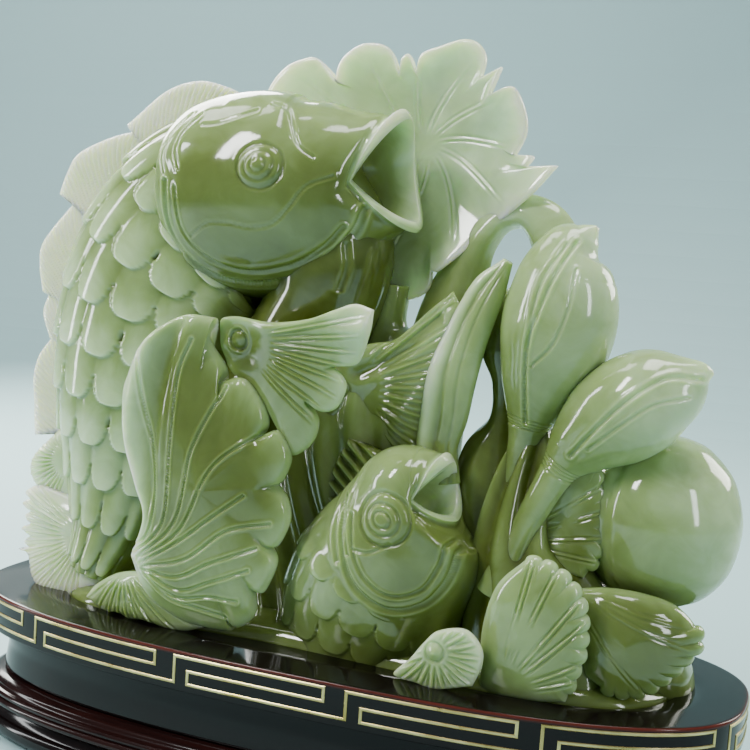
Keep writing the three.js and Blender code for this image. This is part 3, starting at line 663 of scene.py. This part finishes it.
def back_lotus_leaf():
    outline = corner_path([
        (-52, 13, 244), (-49, 12, 262), (-44, 12, 271), (-37, 11, 274.5), (-30, 11, 275),
        (-23, 12, 267, "corner"), (-20, 11, 274), (-12, 10, 279), (-4, 10, 280), (2, 10, 277.5),
        (5, 12, 270, "corner"), (6, 11, 275), (8.5, 11, 276.5), (11, 12, 271, "corner"), (13, 11, 277),
        (20, 10, 280), (28, 10, 282.5), (34, 10, 281), (37.5, 11, 276), (36.5, 12, 269, "corner"),
        (44.5, 11, 272.5, "corner"), (41, 12, 263, "corner"), (49, 11, 265.5), (53.5, 10, 258.5),
        (54.5, 10, 250), (51, 12, 241.5, "corner"), (58, 11, 241.5), (56, 12, 237.5, "corner"),
        (67.5, 11, 238.5, "corner"), (61, 10, 229.5), (52, 9, 221), (41, 9, 211), (28, 9, 199),
        (24, 10, 198, "corner"),
        (23, 11, 191.5), (19, 11, 188, "corner"), (13, 11, 186), (2, 12, 183), (-20, 15, 196),
        (-42, 14, 216)], 560)
    focus = (15, 244)

    def bend(x, z, reach):
        turn = np.arctan2(z - 240, x - 12)
        ruffle = 2.6 * np.sin(turn * 6 + 0.8 * np.sin(2 * turn)) * reach ** 2
        return 9.0 * (1 - reach ** 2) + ruffle

    def veins(x, z, reach):
        lines = rays(x, z, focus, (-150, -112, -72, -38, -8, 22, 52, 84, 118, 152), 0.6, 0.35, start=4,
                     swirl=-40, swirl_reach=22)
        return lines * blend(0.95, 0.6, reach)

    grid, reach = leaf((12, 13, 238), outline, 8, 2.6, rows=120, bend=bend,
                       relief=lambda x, z, reach: veins(x, z, reach) + 1.4 * reach ** 9)
    # Paler towards the rim: painted glow of light through the thin edge. It is darker low down away from the
    # rim.
    tint = 0.76 + 0.24 * reach ** 6 - 0.20 * blend(235, 200, grid[..., 2]) * (1 - reach ** 6)
    tint += 0.10 * np.abs(veins(grid[..., 0], grid[..., 2], reach))
    carve("back_lotus_leaf_carved", grid, tint, "back_lotus_leaf")


def toothed_leaf(name, node, heart, knots, teeth, span, focus, angles, thick, rim, tint, bend=None,
                 depth=0.6):
    outline = serrated(corner_path(knots, 560), teeth, 2.0, *span)

    def relief(x, z, reach):
        lines = rays(x, z, focus, angles, 0.5, depth, start=12)
        return lines * blend(1.0, 0.82, reach) * blend(0.15, 0.5, reach)

    grid, reach = leaf(heart, outline, thick, rim, rows=80, bend=bend, relief=relief)
    # Paler towards the rim: painted glow of light through the thin edge.
    carve(name, grid, tint + 0.30 * reach ** 8, node, slot="pale_jade")


def serrated_leaves():
    toothed_leaf("front_serrated_leaf_carved", "front_serrated_leaf", (80, -38, 84),
                 [(66, -35, 70), (66, -35, 84), (70, -36, 98), (79, -37, 108, "corner"), (86, -37, 107.5),
                  (93, -37, 104), (98, -37, 98), (100, -37, 90), (100, -37, 80), (98, -37, 72),
                  (96, -36, 63, "corner"), (84, -36, 61), (68, -35, 61)],
                 10, (0.0, 0.40), (74, 62), [80, 70, 56, 47, 30, 20], 11, 4, 0.42)
    toothed_leaf("right_serrated_leaf_carved", "right_serrated_leaf", (113, -24, 83),
                 [(92, -22, 97, "corner"), (104, -22, 99.5), (116, -20, 99), (126, -18, 96), (133, -16, 89),
                  (134, -16, 83, "corner"), (127, -20, 74), (119, -24, 67.5), (109, -26, 66),
                  (100, -26, 70, "corner"), (95, -24, 84)],
                 9, (0.36, 0.72), (90, 100), [-14, -22, -48], 12, 4, 0.24, depth=0.15,
                 bend=lambda x, z, reach: -3.0 * bump(np.hypot(x - 112, z - 86), 18))
    toothed_leaf("pod_leaf_carved", "pod_leaf", (87, -12, 119),
                 [(76, -10, 134), (85, -12, 141), (93, -12, 141, "corner"), (96, -12, 132), (98, -13, 120),
                  (98, -14, 108), (94, -14, 99, "corner"), (84, -14, 101), (76, -12, 108)],
                 8, (0.0, 0.36), (66, 108), [36, 24, 10, -4], 9, 4, 0.30, depth=0.3)


def blade_leaf():
    left = [(55, -8, 205), (47, -10, 197), (42, -12, 187), (37.5, -13, 175), (32.5, -14, 162),
            (30.5, -14, 149), (29.5, -14, 137), (31, -14, 124)]
    right = [(58, -5, 203), (57, -7, 193), (55, -9, 184), (52.5, -10, 175), (50, -10, 162), (48, -10, 149),
             (45, -10, 137), (47, -10, 124)]
    stations = []
    for near, far in zip(left, right):
        half = math.hypot(near[0] - far[0], near[2] - far[2]) / 2
        middle = (np.array(near) + np.array(far)) / 2
        stations.append((*middle, half, 2.4 + 0.22 * half))
    grid, turn = loft(stations, 200, 160)
    place = np.linspace(0, 1, 200)[:, None]
    front = (np.sin(turn) < 0) * 1.0
    across = np.cos(turn)[None] + 0.25 * np.sin(5 * place)
    folds = front * (1.0 * bump(across + 0.75, 0.3) - 0.8 * bump(across + 0.2, 0.14)
                     - 0.4 * bump(across - 0.4, 0.07))
    grid = displaced(grid, folds * blend(0, 0.15, place))
    # Paler along the raised fold and on its ridges, darker in its cuts: painted highlight and painted shade.
    # It is also darker towards its lower end.
    tint = 0.54 + 0.26 * bump(across + 0.7, 0.35) - 0.20 * blend(0.4, 0.9, place) + 0.10 * folds
    carve("blade_leaf_carved", grid, tint, "blade_leaf", slot="pale_jade")


# ---- Buds, stems, pod and rock -----------------------------------------------------------------------
def stem_rings(place, where, depth=0.45):
    """Fine rings cut around a bud's neck."""
    cuts = sum(bump(place - where - 0.011 * i, 0.0032) for i in range(4))
    return -depth * cuts[:, None]


def bud(name, node, stations, neck, petal_lines, painted_side_light=0.0):
    grid, turn = loft(stations, 420, 240)
    place = np.linspace(0, 1, 420)
    near = blend(0.0, 0.3, -np.sin(turn))[None]
    lines = engravings(grid[..., 0], grid[..., 2], petal_lines)
    relief = lines * near + stem_rings(place, neck)
    facets = blend(0.05, 0.25, place)[:, None] * blend(0.6, 0.4, place)[:, None]
    relief += 0.5 * np.cos(2 * turn + 1.0)[None] * facets
    grid = displaced(grid, relief)
    tint = 0.68 + 0.18 * blend(0.2, 0.0, place)[:, None] - 0.30 * blend(0.25, 0.6, place)[:, None]
    # One side lighter and the other darker by the side amount: painted light on one side and painted shade on
    # the other.
    tint = tint + 0.12 * np.abs(lines) * near + painted_side_light * np.cos(turn)[None]
    carve(name, grid, tint + 0 * grid[..., 0], node)


def buds_and_stems():
    bud("upper_bud_carved", "upper_bud",
        [(87, -8, 217.5, 0.8, 0.8), (84, -8, 214.5, 5, 5), (80, -8, 209.5, 11.5, 10.5),
         (78, -8, 201, 16.5, 15.5),
         (77, -8, 188, 19.5, 18), (75, -8, 175, 18.7, 17.3), (72, -8, 163, 14.5, 13.5),
         (69.5, -8, 151, 9, 8.5),
         (68, -8, 142, 6, 6), (66, -9, 126, 5, 5), (64, -10, 110, 5, 5), (61, -10, 90, 6, 6)], 0.64,
        [([(82, 212), (77, 200), (73, 188), (70, 176), (69.5, 150)], 0.7, 1.0),
         ([(79, 211), (73, 199), (71, 187), (70, 176)], 0.7, 0.7),
         ([(72, 170), (79, 178), (83, 190), (84, 203)], 0.5, 0.5)], 0.10)
    bud("lower_bud_carved", "lower_bud",
        [(130, -14, 173, 0.8, 0.8), (126.5, -14, 172, 5, 5), (120, -14, 168, 11.5, 11),
         (110, -14, 162.5, 16.5, 16),
         (98.5, -14, 154, 16.5, 15.5), (89, -15, 144.5, 11.5, 11), (82.5, -16, 135, 6.5, 6.2),
         (76, -18, 121, 5, 5), (71, -19, 108, 5, 5), (65, -20, 90, 7, 6)], 0.64,
        [([(127, 171), (117, 171), (106, 163), (96, 152), (88, 142)], 0.7, 0.9),
         ([(124, 165), (114, 162), (104, 154), (94, 145)], 0.5, 0.5)], 0.08)
    arch, turn = loft([(26, 6, 122, 14, 10), (27, 7, 150, 14, 10), (29, 9, 170, 12.5, 9),
                       (32, 11, 186, 11.5, 7.5),
                       (35, 13, 199, 9, 6.5), (39, 14, 210, 7, 6), (46, 15, 219, 6, 5.5),
                       (56, 14, 221.5, 6.5, 5.5),
                       (65, 12, 216, 8.5, 5.5), (70, 9, 205, 9, 6), (65, 6, 194, 8, 6.5),
                       (57, 4, 184, 9.5, 8),
                       (55, 3, 173, 9, 8.5), (57, 3, 161, 6, 7), (57, 3, 147, 6, 7), (54, 1, 133, 12, 9),
                       (54, 0, 114, 14, 12), (58, 0, 96, 14, 14)], 420, 120)
    streaks = 0.5 * np.sin(3 * turn + 0.8)
    x, z = arch[..., 0], arch[..., 2]
    # Lighter at the top of the arch and darker low down: painted light from above and painted shade below.
    tint = 0.40 + 0.28 * blend(200, 222, z) - 0.32 * blend(195, 170, z)
    carve("arch_stem_carved", displaced(arch, 0 * x + streaks[None]), tint, "arch_stem")
    cluster, turn = loft([(73, -5, 150, 3, 4), (72, -6, 140, 8, 7), (70, -8, 124, 12, 10),
                          (70, -9, 106, 16, 15),
                          (75, -9, 90, 23, 19), (80, -8, 72, 29, 24), (82, -8, 58, 32, 27)], 160, 160)
    place = np.linspace(0, 1, 160)[:, None]
    flutes = 1.6 * np.cos(7 * turn + 2 * place)[None, 0] * blend(0, 0.25, place)
    # Raised flutes lighter and their hollows darker: painted shade in the flutes.
    carve("stem_cluster_carved", displaced(cluster, flutes), 0.16 + 0.08 * flutes, "stem_cluster")


def seed_pod():
    grid, turn = loft([(115, 4, 148.5, 1, 1), (115, 4, 147.5, 8, 8), (115, 4, 144, 15.5, 15.5),
                       (115, 4, 134, 24, 23), (115, 4, 119, 27.5, 26.5), (116, 4, 103, 24, 23),
                       (117, 4, 92, 15, 14), (118, 4, 88, 6, 6), (118, 4, 87.5, 1, 1)], 200, 240)
    place = np.linspace(0, 1, 200)
    cleft = -0.8 * bump(np.sin((turn - 4.1) / 2), 0.05)[None] * blend(0.05, 0.3, place)[:, None]
    x, z = grid[..., 0], grid[..., 2]
    # Lighter towards the right and darker towards the bottom: painted rim light from the right and painted
    # shade below.
    tint = 0.48 + 0.22 * blend(105, 140, x) - 0.24 * blend(112, 90, z)
    carve("seed_pod_carved", displaced(grid, cleft + 0 * grid[..., 0]), tint, "seed_pod")


def rocks():
    middle, _ = loft([(8, 4, 60, 46, 26), (4, 4, 82, 44, 26), (2, 4, 104, 41, 25), (3, 4, 128, 37, 22),
                         (7, 5, 150, 29, 18), (11, 7, 164, 15, 12), (8, 9, 176, 6.5, 8), (9, 10, 192, 6, 7)],
                        240, 220)
    x, z = middle[..., 0], middle[..., 2]
    flow = 1.3 * np.sin(0.45 * x + 0.12 * z + 1.5 * np.sin(0.06 * z)) * blend(196, 150, z)
    carve("middle_rock_carved", displaced(middle, flow), 0.14 + 0.22 * blend(90, 176, z), "middle_rock")
    right, _ = loft([(97, 4, 60, 34, 26), (98, 4, 70, 33, 25), (99, 4, 82, 26, 19), (98, 4, 92, 15, 12),
                        (97, 4, 97, 5, 5)], 120, 200)
    x, z = right[..., 0], right[..., 2]
    carve("right_rock_carved", displaced(right, 0.9 * np.sin(0.5 * x + 0.2 * z)), 0.32, "right_rock")
    outline = smooth_path([(x, y, 0) for x, y in FOOT_OUTLINE], 360, closed=True)
    middle_point = outline.mean(axis=0)
    rings = []
    for share, z in ((1.0, DECK_TOP - 4.6), (1.0, DECK_TOP - 0.5), (0.985, DECK_TOP + 1.6),
    (0.95, DECK_TOP + 3.4),
                     (0.9, DECK_TOP + 4.6), (0.8, DECK_TOP + 5.6), (0.6, DECK_TOP + 6.5),
                     (0.2, DECK_TOP + 7)):
        ring = middle_point + (outline - middle_point) * share
        ring[:, 2] = z
        rings.append(ring)
    grid = np.stack([smooth_path(np.stack(rings)[:, i], 40) for i in range(360)], axis=1)
    carve("foot_rock_carved", grid, 0.25, "foot_rock")


# ---- Small carp --------------------------------------------------------------------------------------
def small_carp_body():
    outer = [(14, -15, 56, 28, 18), (15, -15, 64, 31, 20), (18, -16, 76, 33, 23), (23, -17, 89, 33, 25),
             (30, -19, 101, 30, 24), (35.5, -20, 110.5, 26.5, 21.5), (40, -22, 117, 22.5, 18.5),
             (44, -23, 121.5, 17.5, 15), (47.5, -23, 125, 13.8, 12.5)]
    inner = [(47.5, -23, 125, 12.2, 10.8), (43, -23, 121, 11, 9.5), (38, -23, 117, 8.5, 8),
             (32, -23, 112, 4, 4)]
    shell, throat, place, throat_place, turn = open_mouth(outer, inner, 360, 80, 380, 11,
                                                          np.array([-1.0, 0, -0.1]), -0.20, 0.15, lean=7.5)
    x, z = shell[..., 0], shell[..., 2]
    side = blend(0.1, 0.4, -np.sin(turn)) + 0.4 * blend(0.2, 0.5, np.sin(turn))
    cuts = engravings(x, z, [
        ([(13, 118), (15, 103), (21, 91), (33, 84), (45, 87), (52, 96), (55, 108)], 0.9, 1.3),
        ([(17, 114), (19.5, 103), (25, 94), (34, 89), (44, 92), (49, 100), (51, 108)], 0.6, 0.9),
        ([(17, 132), (12, 122), (11, 109), (14, 98)], 0.9, 1.0),
        ([(20, 129), (16, 120), (15, 110), (18, 101)], 0.6, 0.8),
        ([(19, 103), (26, 103), (33, 107)], 0.5, 0.5)])
    centre = smooth_path(np.asarray(outer, float)[:, :3], 360)
    along = np.concatenate([[0], np.cumsum(np.linalg.norm(np.diff(centre, axis=0), axis=1))])
    pattern = scales(*np.broadcast_arrays((along[-1] - along)[:, None], (turn / (2 * math.pi) * 15)[None]),
                     length=11, width=1.0, height=1.9)
    low_left = blend(3, -3, (z - 92) * 0.75 + (x - 12) * 0.50) * blend(52, 38, x)
    lip = 0.9 * bump(place - 0.98, 0.014) - 0.3 * bump(place - 0.93, 0.02)
    dome = 5.0 * bump(place - 0.80, 0.16) * blend(0.0, 0.9, np.cos(turn))[None]
    shell = displaced(shell, (eye(x, z, (30.5, 114.5), 8.4) + cuts + pattern * low_left) * side + lip + dome)
    # Lighter towards the top and the left, darker towards the bottom and the right: painted light from the
    # upper left and painted shade below. Raised scales lighter: painted light on the scales. Paler towards
    # the lip rim: painted glow of light through the thin lip.
    shell_tint = 0.28 + 0.24 * blend(108, 140, z) + 0.06 * pattern * low_left - 0.14 * blend(90, 64, z)
    shell_tint = shell_tint + 0.10 * blend(26, 8, x) - 0.06 * blend(26, 44, x)
    shell_tint = shell_tint + 0.18 * np.abs(cuts) * side + 0.4 * blend(0.93, 0.99, place)
    # Paler at the lip and darker deeper in: painted shade inside the open mouth.
    throat_painted_shade = 0.85 - 0.4 * blend(0, 0.7, throat_place) + 0 * throat[..., 0]
    grid = np.concatenate([shell, throat])
    carve("small_carp_body_carved", grid, np.concatenate([shell_tint, throat_painted_shade]), "small_carp_body")


def small_carp_fins():
    root = [(26, -20, 132), (20, -21, 120), (13, -21, 106), (6, -21, 93), (0, -20, 78)]
    edge = [(5, -16, 137), (-1, -16, 123), (-5, -16, 108), (-9, -17, 93), (-11, -17, 77)]
    grid, reach, ridges = fin_strip(root, edge, 12, 4, 15, 0.12, rows=400, columns=30, ray_depth=1.0)
    # Raised rays lighter near the edge: painted light on the rays and painted shade between them.
    carve("small_carp_dorsal_fin_carved", grid, 0.20 + 0.28 * ridges * reach ** 4, "small_carp_dorsal_fin")
    outline = corner_path([(38, -42, 63), (44, -44, 70), (49, -45, 77), (54, -46, 82), (63, -46, 84),
                           (68.5, -45, 79), (69.5, -45, 73), (66.5, -44, 65, "corner"), (54, -44, 61.5),
                           (46, -43, 62, "corner")], 360)
    knob = (53.5, 75)

    def relief(x, z, reach):
        gap = np.hypot(x - knob[0], z - knob[1])
        boss = 1.3 * bump(gap, 2.0) - 0.8 * bump(gap - 3.2, 0.55)
        return rays(x, z, knob, range(-170, 60, 19), 0.6, 0.75, start=4) * blend(1, 0.8, reach) + boss

    grid, reach = leaf((55, -45, 72), outline, 6, 3, rows=60, relief=relief)
    # Paler towards the rim: painted glow of light through the thin edge.
    carve("small_carp_pectoral_fin_carved", grid, 0.6 + 0.3 * reach ** 4, "small_carp_pectoral_fin",
          slot="pale_jade")


for build in (big_carp_head, big_carp_body, big_carp_dorsal_fin, big_carp_tail, pectoral_fin, rear_fin,
              front_lotus_leaf, foot_leaf, back_lotus_leaf, serrated_leaves, blade_leaf, buds_and_stems,
              seed_pod,
              rocks, small_carp_body, small_carp_fins):
    build()


# ---- Stand -------------------------------------------------------------------------------------------
def oval(count):
    """Points at equal steps round the deck's oval from its front centre, and their outward normals."""
    turn = np.linspace(0, 2 * math.pi, 8000, endpoint=False) - math.pi / 2
    c, s = np.cos(turn), np.sin(turn)
    power = 2 / OVAL_POWER
    curve = np.stack([HALF_LENGTH * np.sign(c) * np.abs(c) ** power,
                      HALF_WIDTH * np.sign(s) * np.abs(s) ** power, 0 * c], axis=1)
    points = even(curve, count, closed=True)
    along = np.roll(points, -1, axis=0) - np.roll(points, 1, axis=0)
    normal = np.stack([along[:, 1], -along[:, 0], 0 * along[:, 0]], axis=1)
    return points, normal / np.linalg.norm(normal, axis=1)[:, None]


OVAL, OUTWARD = oval(960)


def moulding_grid(profile):
    """A ring of points for each (offset from the oval, z) of a profile."""
    return np.stack([OVAL + OUTWARD * offset + np.array([0, 0, z]) for offset, z in profile])


def rounded(corners, radius=0.6, steps=5):
    """A profile with each of its inner corners rounded off."""
    corners = [np.array(corner, float) for corner in corners]
    result = [corners[0]]
    for before, here, after in zip(corners, corners[1:], corners[2:]):
        start = here + (before - here) * min(0.45, radius / np.linalg.norm(before - here))
        end = here + (after - here) * min(0.45, radius / np.linalg.norm(after - here))
        for share in np.linspace(0, 1, steps):
            result.append((1 - share) ** 2 * start + 2 * share * (1 - share) * here + share ** 2 * end)
    result.append(corners[-1])
    return result


def stand_piece(name, profile, tint, node):
    add_piece(name, moulding_grid(profile), tint, LACQUER, "lacquer", "stand", node)


def deck():
    bottom = DECK_LOW[2]
    profile = rounded([(-40, bottom), (0, bottom), (0, DECK_TOP - 2.5), (0, DECK_TOP), (-2.5, DECK_TOP),
                       (-14, DECK_TOP)], 0.9)
    rings = [OVAL + OUTWARD * offset + np.array([0, 0, z]) for offset, z in profile]
    recess = smooth_path([(x * 1.008, y * 1.03, 0) for x, y in FOOT_OUTLINE], 1400, closed=True)
    angle = np.arctan2(OVAL[:, 1], OVAL[:, 0])
    recess_angle = np.arctan2(recess[:, 1], recess[:, 0])
    order = np.argsort(recess_angle)
    radius = np.interp(angle, recess_angle[order], np.hypot(recess[:, 0], recess[:, 1])[order],
                       period=2 * math.pi)
    hole = np.stack([radius * np.cos(angle), radius * np.sin(angle), 0 * radius], axis=1)
    for share, z in ((1.006, DECK_TOP), (1.0, DECK_TOP - 0.5), (1.0, RECESS_FLOOR),
                     (0.5, RECESS_FLOOR), (0.05, RECESS_FLOOR)):
        rings.append(hole * share + np.array([0, 0, z]))
    grid = np.stack(rings)
    height = grid[..., 2]
    edge_gap = np.abs(height - (DECK_TOP - 0.3)) + 2 * np.minimum(np.abs(rings_offset(grid)), 3)
    tint = 0.75 * bump(edge_gap, 0.9)
    add_piece("deck_board_lacquered", grid, tint, LACQUER, "lacquer", "stand", "deck_board")


def rings_offset(grid):
    """How far each point lies inside the deck's oval, as a rough distance."""
    along = (np.abs(grid[..., 0]) / HALF_LENGTH) ** OVAL_POWER
    scaled = along + (np.abs(grid[..., 1]) / HALF_WIDTH) ** OVAL_POWER
    return (1 - scaled ** (1 / OVAL_POWER)) * HALF_WIDTH


def fret():
    units, steps = 11, 6
    line, proud = 1.1, 0.35
    high = DECK_TOP - 1.5 - line / 2
    low = high - 10.5 + line
    centre = (high + low) / 2
    corners = []
    for unit in range(units):
        for step, z in ((0, low), (0, high), (5.25, high), (5.25, centre), (0.5, centre), (0.5, low)):
            corners.append((unit * steps + step, z))
    corners.append((units * steps, low))
    unit_length = 1.0 / (units * steps)
    start_share = -102.4 / (np.linalg.norm(np.roll(OVAL, -1, axis=0) - OVAL, axis=1).sum())
    perimeter = np.linalg.norm(np.roll(OVAL, -1, axis=0) - OVAL, axis=1).sum()
    step_length = perimeter * unit_length
    path, mitres = [], []
    for i in range(len(corners) - 1):
        here, after = np.array(corners[i]), np.array(corners[i + 1])
        before = np.array(corners[i - 1]) if i else np.array(corners[-2]) - (units * steps, 0)
        scale = np.array([step_length, 1])
        into = (here - before) * scale / np.linalg.norm((here - before) * scale)
        out = (after - here) * scale / np.linalg.norm((after - here) * scale)
        path.append(here)
        mitres.append(np.array([-into[1] - out[1], into[0] + out[0]]))
        count = int(np.ceil(abs(after[0] - here[0]) * step_length / 1.5))
        for k in range(1, count):
            path.append(here + (after - here) * k / count)
            mitres.append(np.array([-out[1], out[0]]))
    path, mitres = np.array(path), np.array(mitres)
    section = [(-0.5, -0.2), (-0.5, 0.5), (-0.28, 1.0), (0.28, 1.0), (0.5, 0.5), (0.5, -0.2)]
    index = np.arange(len(OVAL) + 1)
    ring_points = np.vstack([OVAL, OVAL[:1]])
    ring_normals = np.vstack([OUTWARD, OUTWARD[:1]])
    rings = []
    for across, out in section:
        place = path + mitres * across * line / np.array([step_length, 1])
        share = np.mod(place[:, 0] * unit_length + start_share, 1) * len(OVAL)
        point = np.stack([np.interp(share, index, ring_points[:, axis]) for axis in range(3)], axis=1)
        normal = np.stack([np.interp(share, index, ring_normals[:, axis]) for axis in range(3)], axis=1)
        point += normal * out * proud
        point[:, 2] = place[:, 1]
        rings.append(point)
    grid = np.stack(rings)
    mesh_from_hoop("fret_inlay_brass", grid)


def mesh_from_hoop(name, grid):
    """A closed hoop: the grid's rows go round its section and its columns round the stand."""
    rows, columns = grid.shape[:2]
    ids = np.arange(rows * columns).reshape(rows, columns)
    faces = np.stack([ids, np.roll(ids, -1, axis=1), np.roll(np.roll(ids, -1, axis=0), -1, axis=1),
                      np.roll(ids, -1, axis=0)], axis=2).reshape(-1, 4)
    points = grid.reshape(-1, 3)
    a, b, c, d = (points[faces[:, i]] for i in range(4))
    if np.sum(a * np.cross(b, c)) + np.sum(a * np.cross(c, d)) < 0:
        faces = faces[:, ::-1]
    mesh = bpy.data.meshes.new(name)
    mesh.from_pydata((points * MM).tolist(), [], faces.tolist())
    mesh.materials.append(BRASS)
    piece = bpy.data.objects.new(name, mesh)
    bpy.context.scene.collection.objects.link(piece)
    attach(piece, "stand")
    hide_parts("fret_inlay")


def lower_stand():
    low, high = (corner[2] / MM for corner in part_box("waist"))
    stand_piece("waist_lacquered", rounded([(-60, low), (-8, low), (-8.6, low + 5), (-9.3, (low + high) / 2),
                                            (-8.6, high - 5), (-8, high), (-60, high)], 1.5), 0.02, "waist")
    low, high = (corner[2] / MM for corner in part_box("bead_moulding"))
    profile = [(-60, low), (-2, low)]
    for centre, radius, out in ((low + 1.6, 1.6, -1.1), (low + 4.4, 1.3, -1.6)):
        for turn in np.linspace(-math.pi / 2, math.pi / 2, 12):
            profile.append((out + radius * math.cos(turn), centre + radius * math.sin(turn)))
    profile += rounded([(-3, low + 5.9), (-3.4, high - 1.2), (-6, high), (-60, high)], 1.0)
    stand_piece("bead_moulding_lacquered", profile, 0.16, "bead_moulding")
    low, high = (corner[2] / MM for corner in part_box("skirt_moulding"))
    profile = [(-60, low), (-1.2, low)]
    for turn in np.linspace(-math.pi / 2, math.pi / 2, 18):
        profile.append((-1.2 + 2.2 * math.cos(turn), low + 3.2 + 3.2 * math.sin(turn)))
    profile += rounded([(-1.8, low + 6.6), (-3, high - 1), (-5, high), (-60, high)], 1.2)
    stand_piece("skirt_moulding_lacquered", profile, 0.05, "skirt_moulding")


deck()
fret()
lower_stand()
for number in range(1, 7):
    for material_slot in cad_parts[f"foot_{number}"].material_slots:
        material_slot.material = LACQUER


# ---- Floor, backdrop and lights ----------------------------------------------------------------------
def backdrop_material_with_painted_falloff(name, low, high):
    material, nodes, links, shader = new_material(name)
    coordinates = nodes.new("ShaderNodeTexCoord").outputs["Object"]
    split = nodes.new("ShaderNodeSeparateXYZ")
    links.new(coordinates, split.inputs[0])
    # Lighter at the left and darker to the right: a painted fall-off of light across the backdrop.
    value = weighted(nodes, links, split.outputs["X"], 0.35, 0.5)
    links.new(ramp(nodes, links, value, [(0.0, high), (1.0, low)]), shader.inputs["Base Color"])
    shader.inputs["Roughness"].default_value = 0.7
    return material


def make_stage():
    rows = []
    for y, z in ((-2.5, 0), (0.6, 0), (1.0, 0.05), (1.25, 0.25), (1.35, 0.6), (1.4, 2.4)):
        rows.append([(x, y, z) for x in (-3.0, 3.0)])
    points = [point for row in rows for point in row]
    faces = [(2 * i, 2 * i + 1, 2 * i + 3, 2 * i + 2) for i in range(len(rows) - 1)]
    mesh = bpy.data.meshes.new("studio_sweep")
    mesh.from_pydata(points, [], faces)
    mesh.materials.append(backdrop_material_with_painted_falloff("studio_grey_painted_falloff", (0.19, 0.32, 0.33), (0.56, 0.80, 0.81)))
    sweep = bpy.data.objects.new("studio_sweep", mesh)
    smooth = sweep.modifiers.new("smooth", "SUBSURF")
    smooth.levels = smooth.render_levels = 3
    bpy.context.scene.collection.objects.link(sweep)


def area_light(name, place, target, size, power, colour=(1, 1, 1)):
    data = bpy.data.lights.new(name, "AREA")
    data.shape = "RECTANGLE"
    data.size, data.size_y = size
    data.energy = power
    data.color = colour
    light = bpy.data.objects.new(name, data)
    light.location = place
    light.rotation_euler = (Vector(target) - Vector(place)).to_track_quat("-Z", "Y").to_euler()
    bpy.context.scene.collection.objects.link(light)


def make_lights():
    middle = (0, 0, 0.16)
    area_light("key", (-0.50, -0.70, 0.95), middle, (0.16, 0.5), 9)
    area_light("left_strip", (-1.0, -0.35, 0.45), middle, (0.10, 0.8), 5, (0.95, 0.99, 1.0))
    area_light("fill", (0.95, -0.55, 0.50), middle, (0.14, 0.6), 3.5, (0.92, 0.98, 1.0))
    area_light("back", (-0.6, 0.5, 0.6), middle, (0.5, 0.5), 14, (1.0, 0.99, 0.95))
    area_light("back_right", (0.6, 0.6, 0.5), middle, (0.4, 0.4), 6, (1.0, 1.0, 0.92))
    area_light("top", (0.15, 0.0, 1.1), middle, (0.5, 0.3), 5)
    area_light("sweep", (-1.0, 0.2, 1.6), (-0.4, 1.3, 0.6), (1.2, 0.6), 15)
    world = bpy.data.worlds.new("studio")
    world.use_nodes = True
    background = world.node_tree.nodes["Background"]
    background.inputs["Color"].default_value = (0.55, 0.62, 0.65, 1)
    background.inputs["Strength"].default_value = 0.28
    bpy.context.scene.world = world


make_stage()
make_lights()
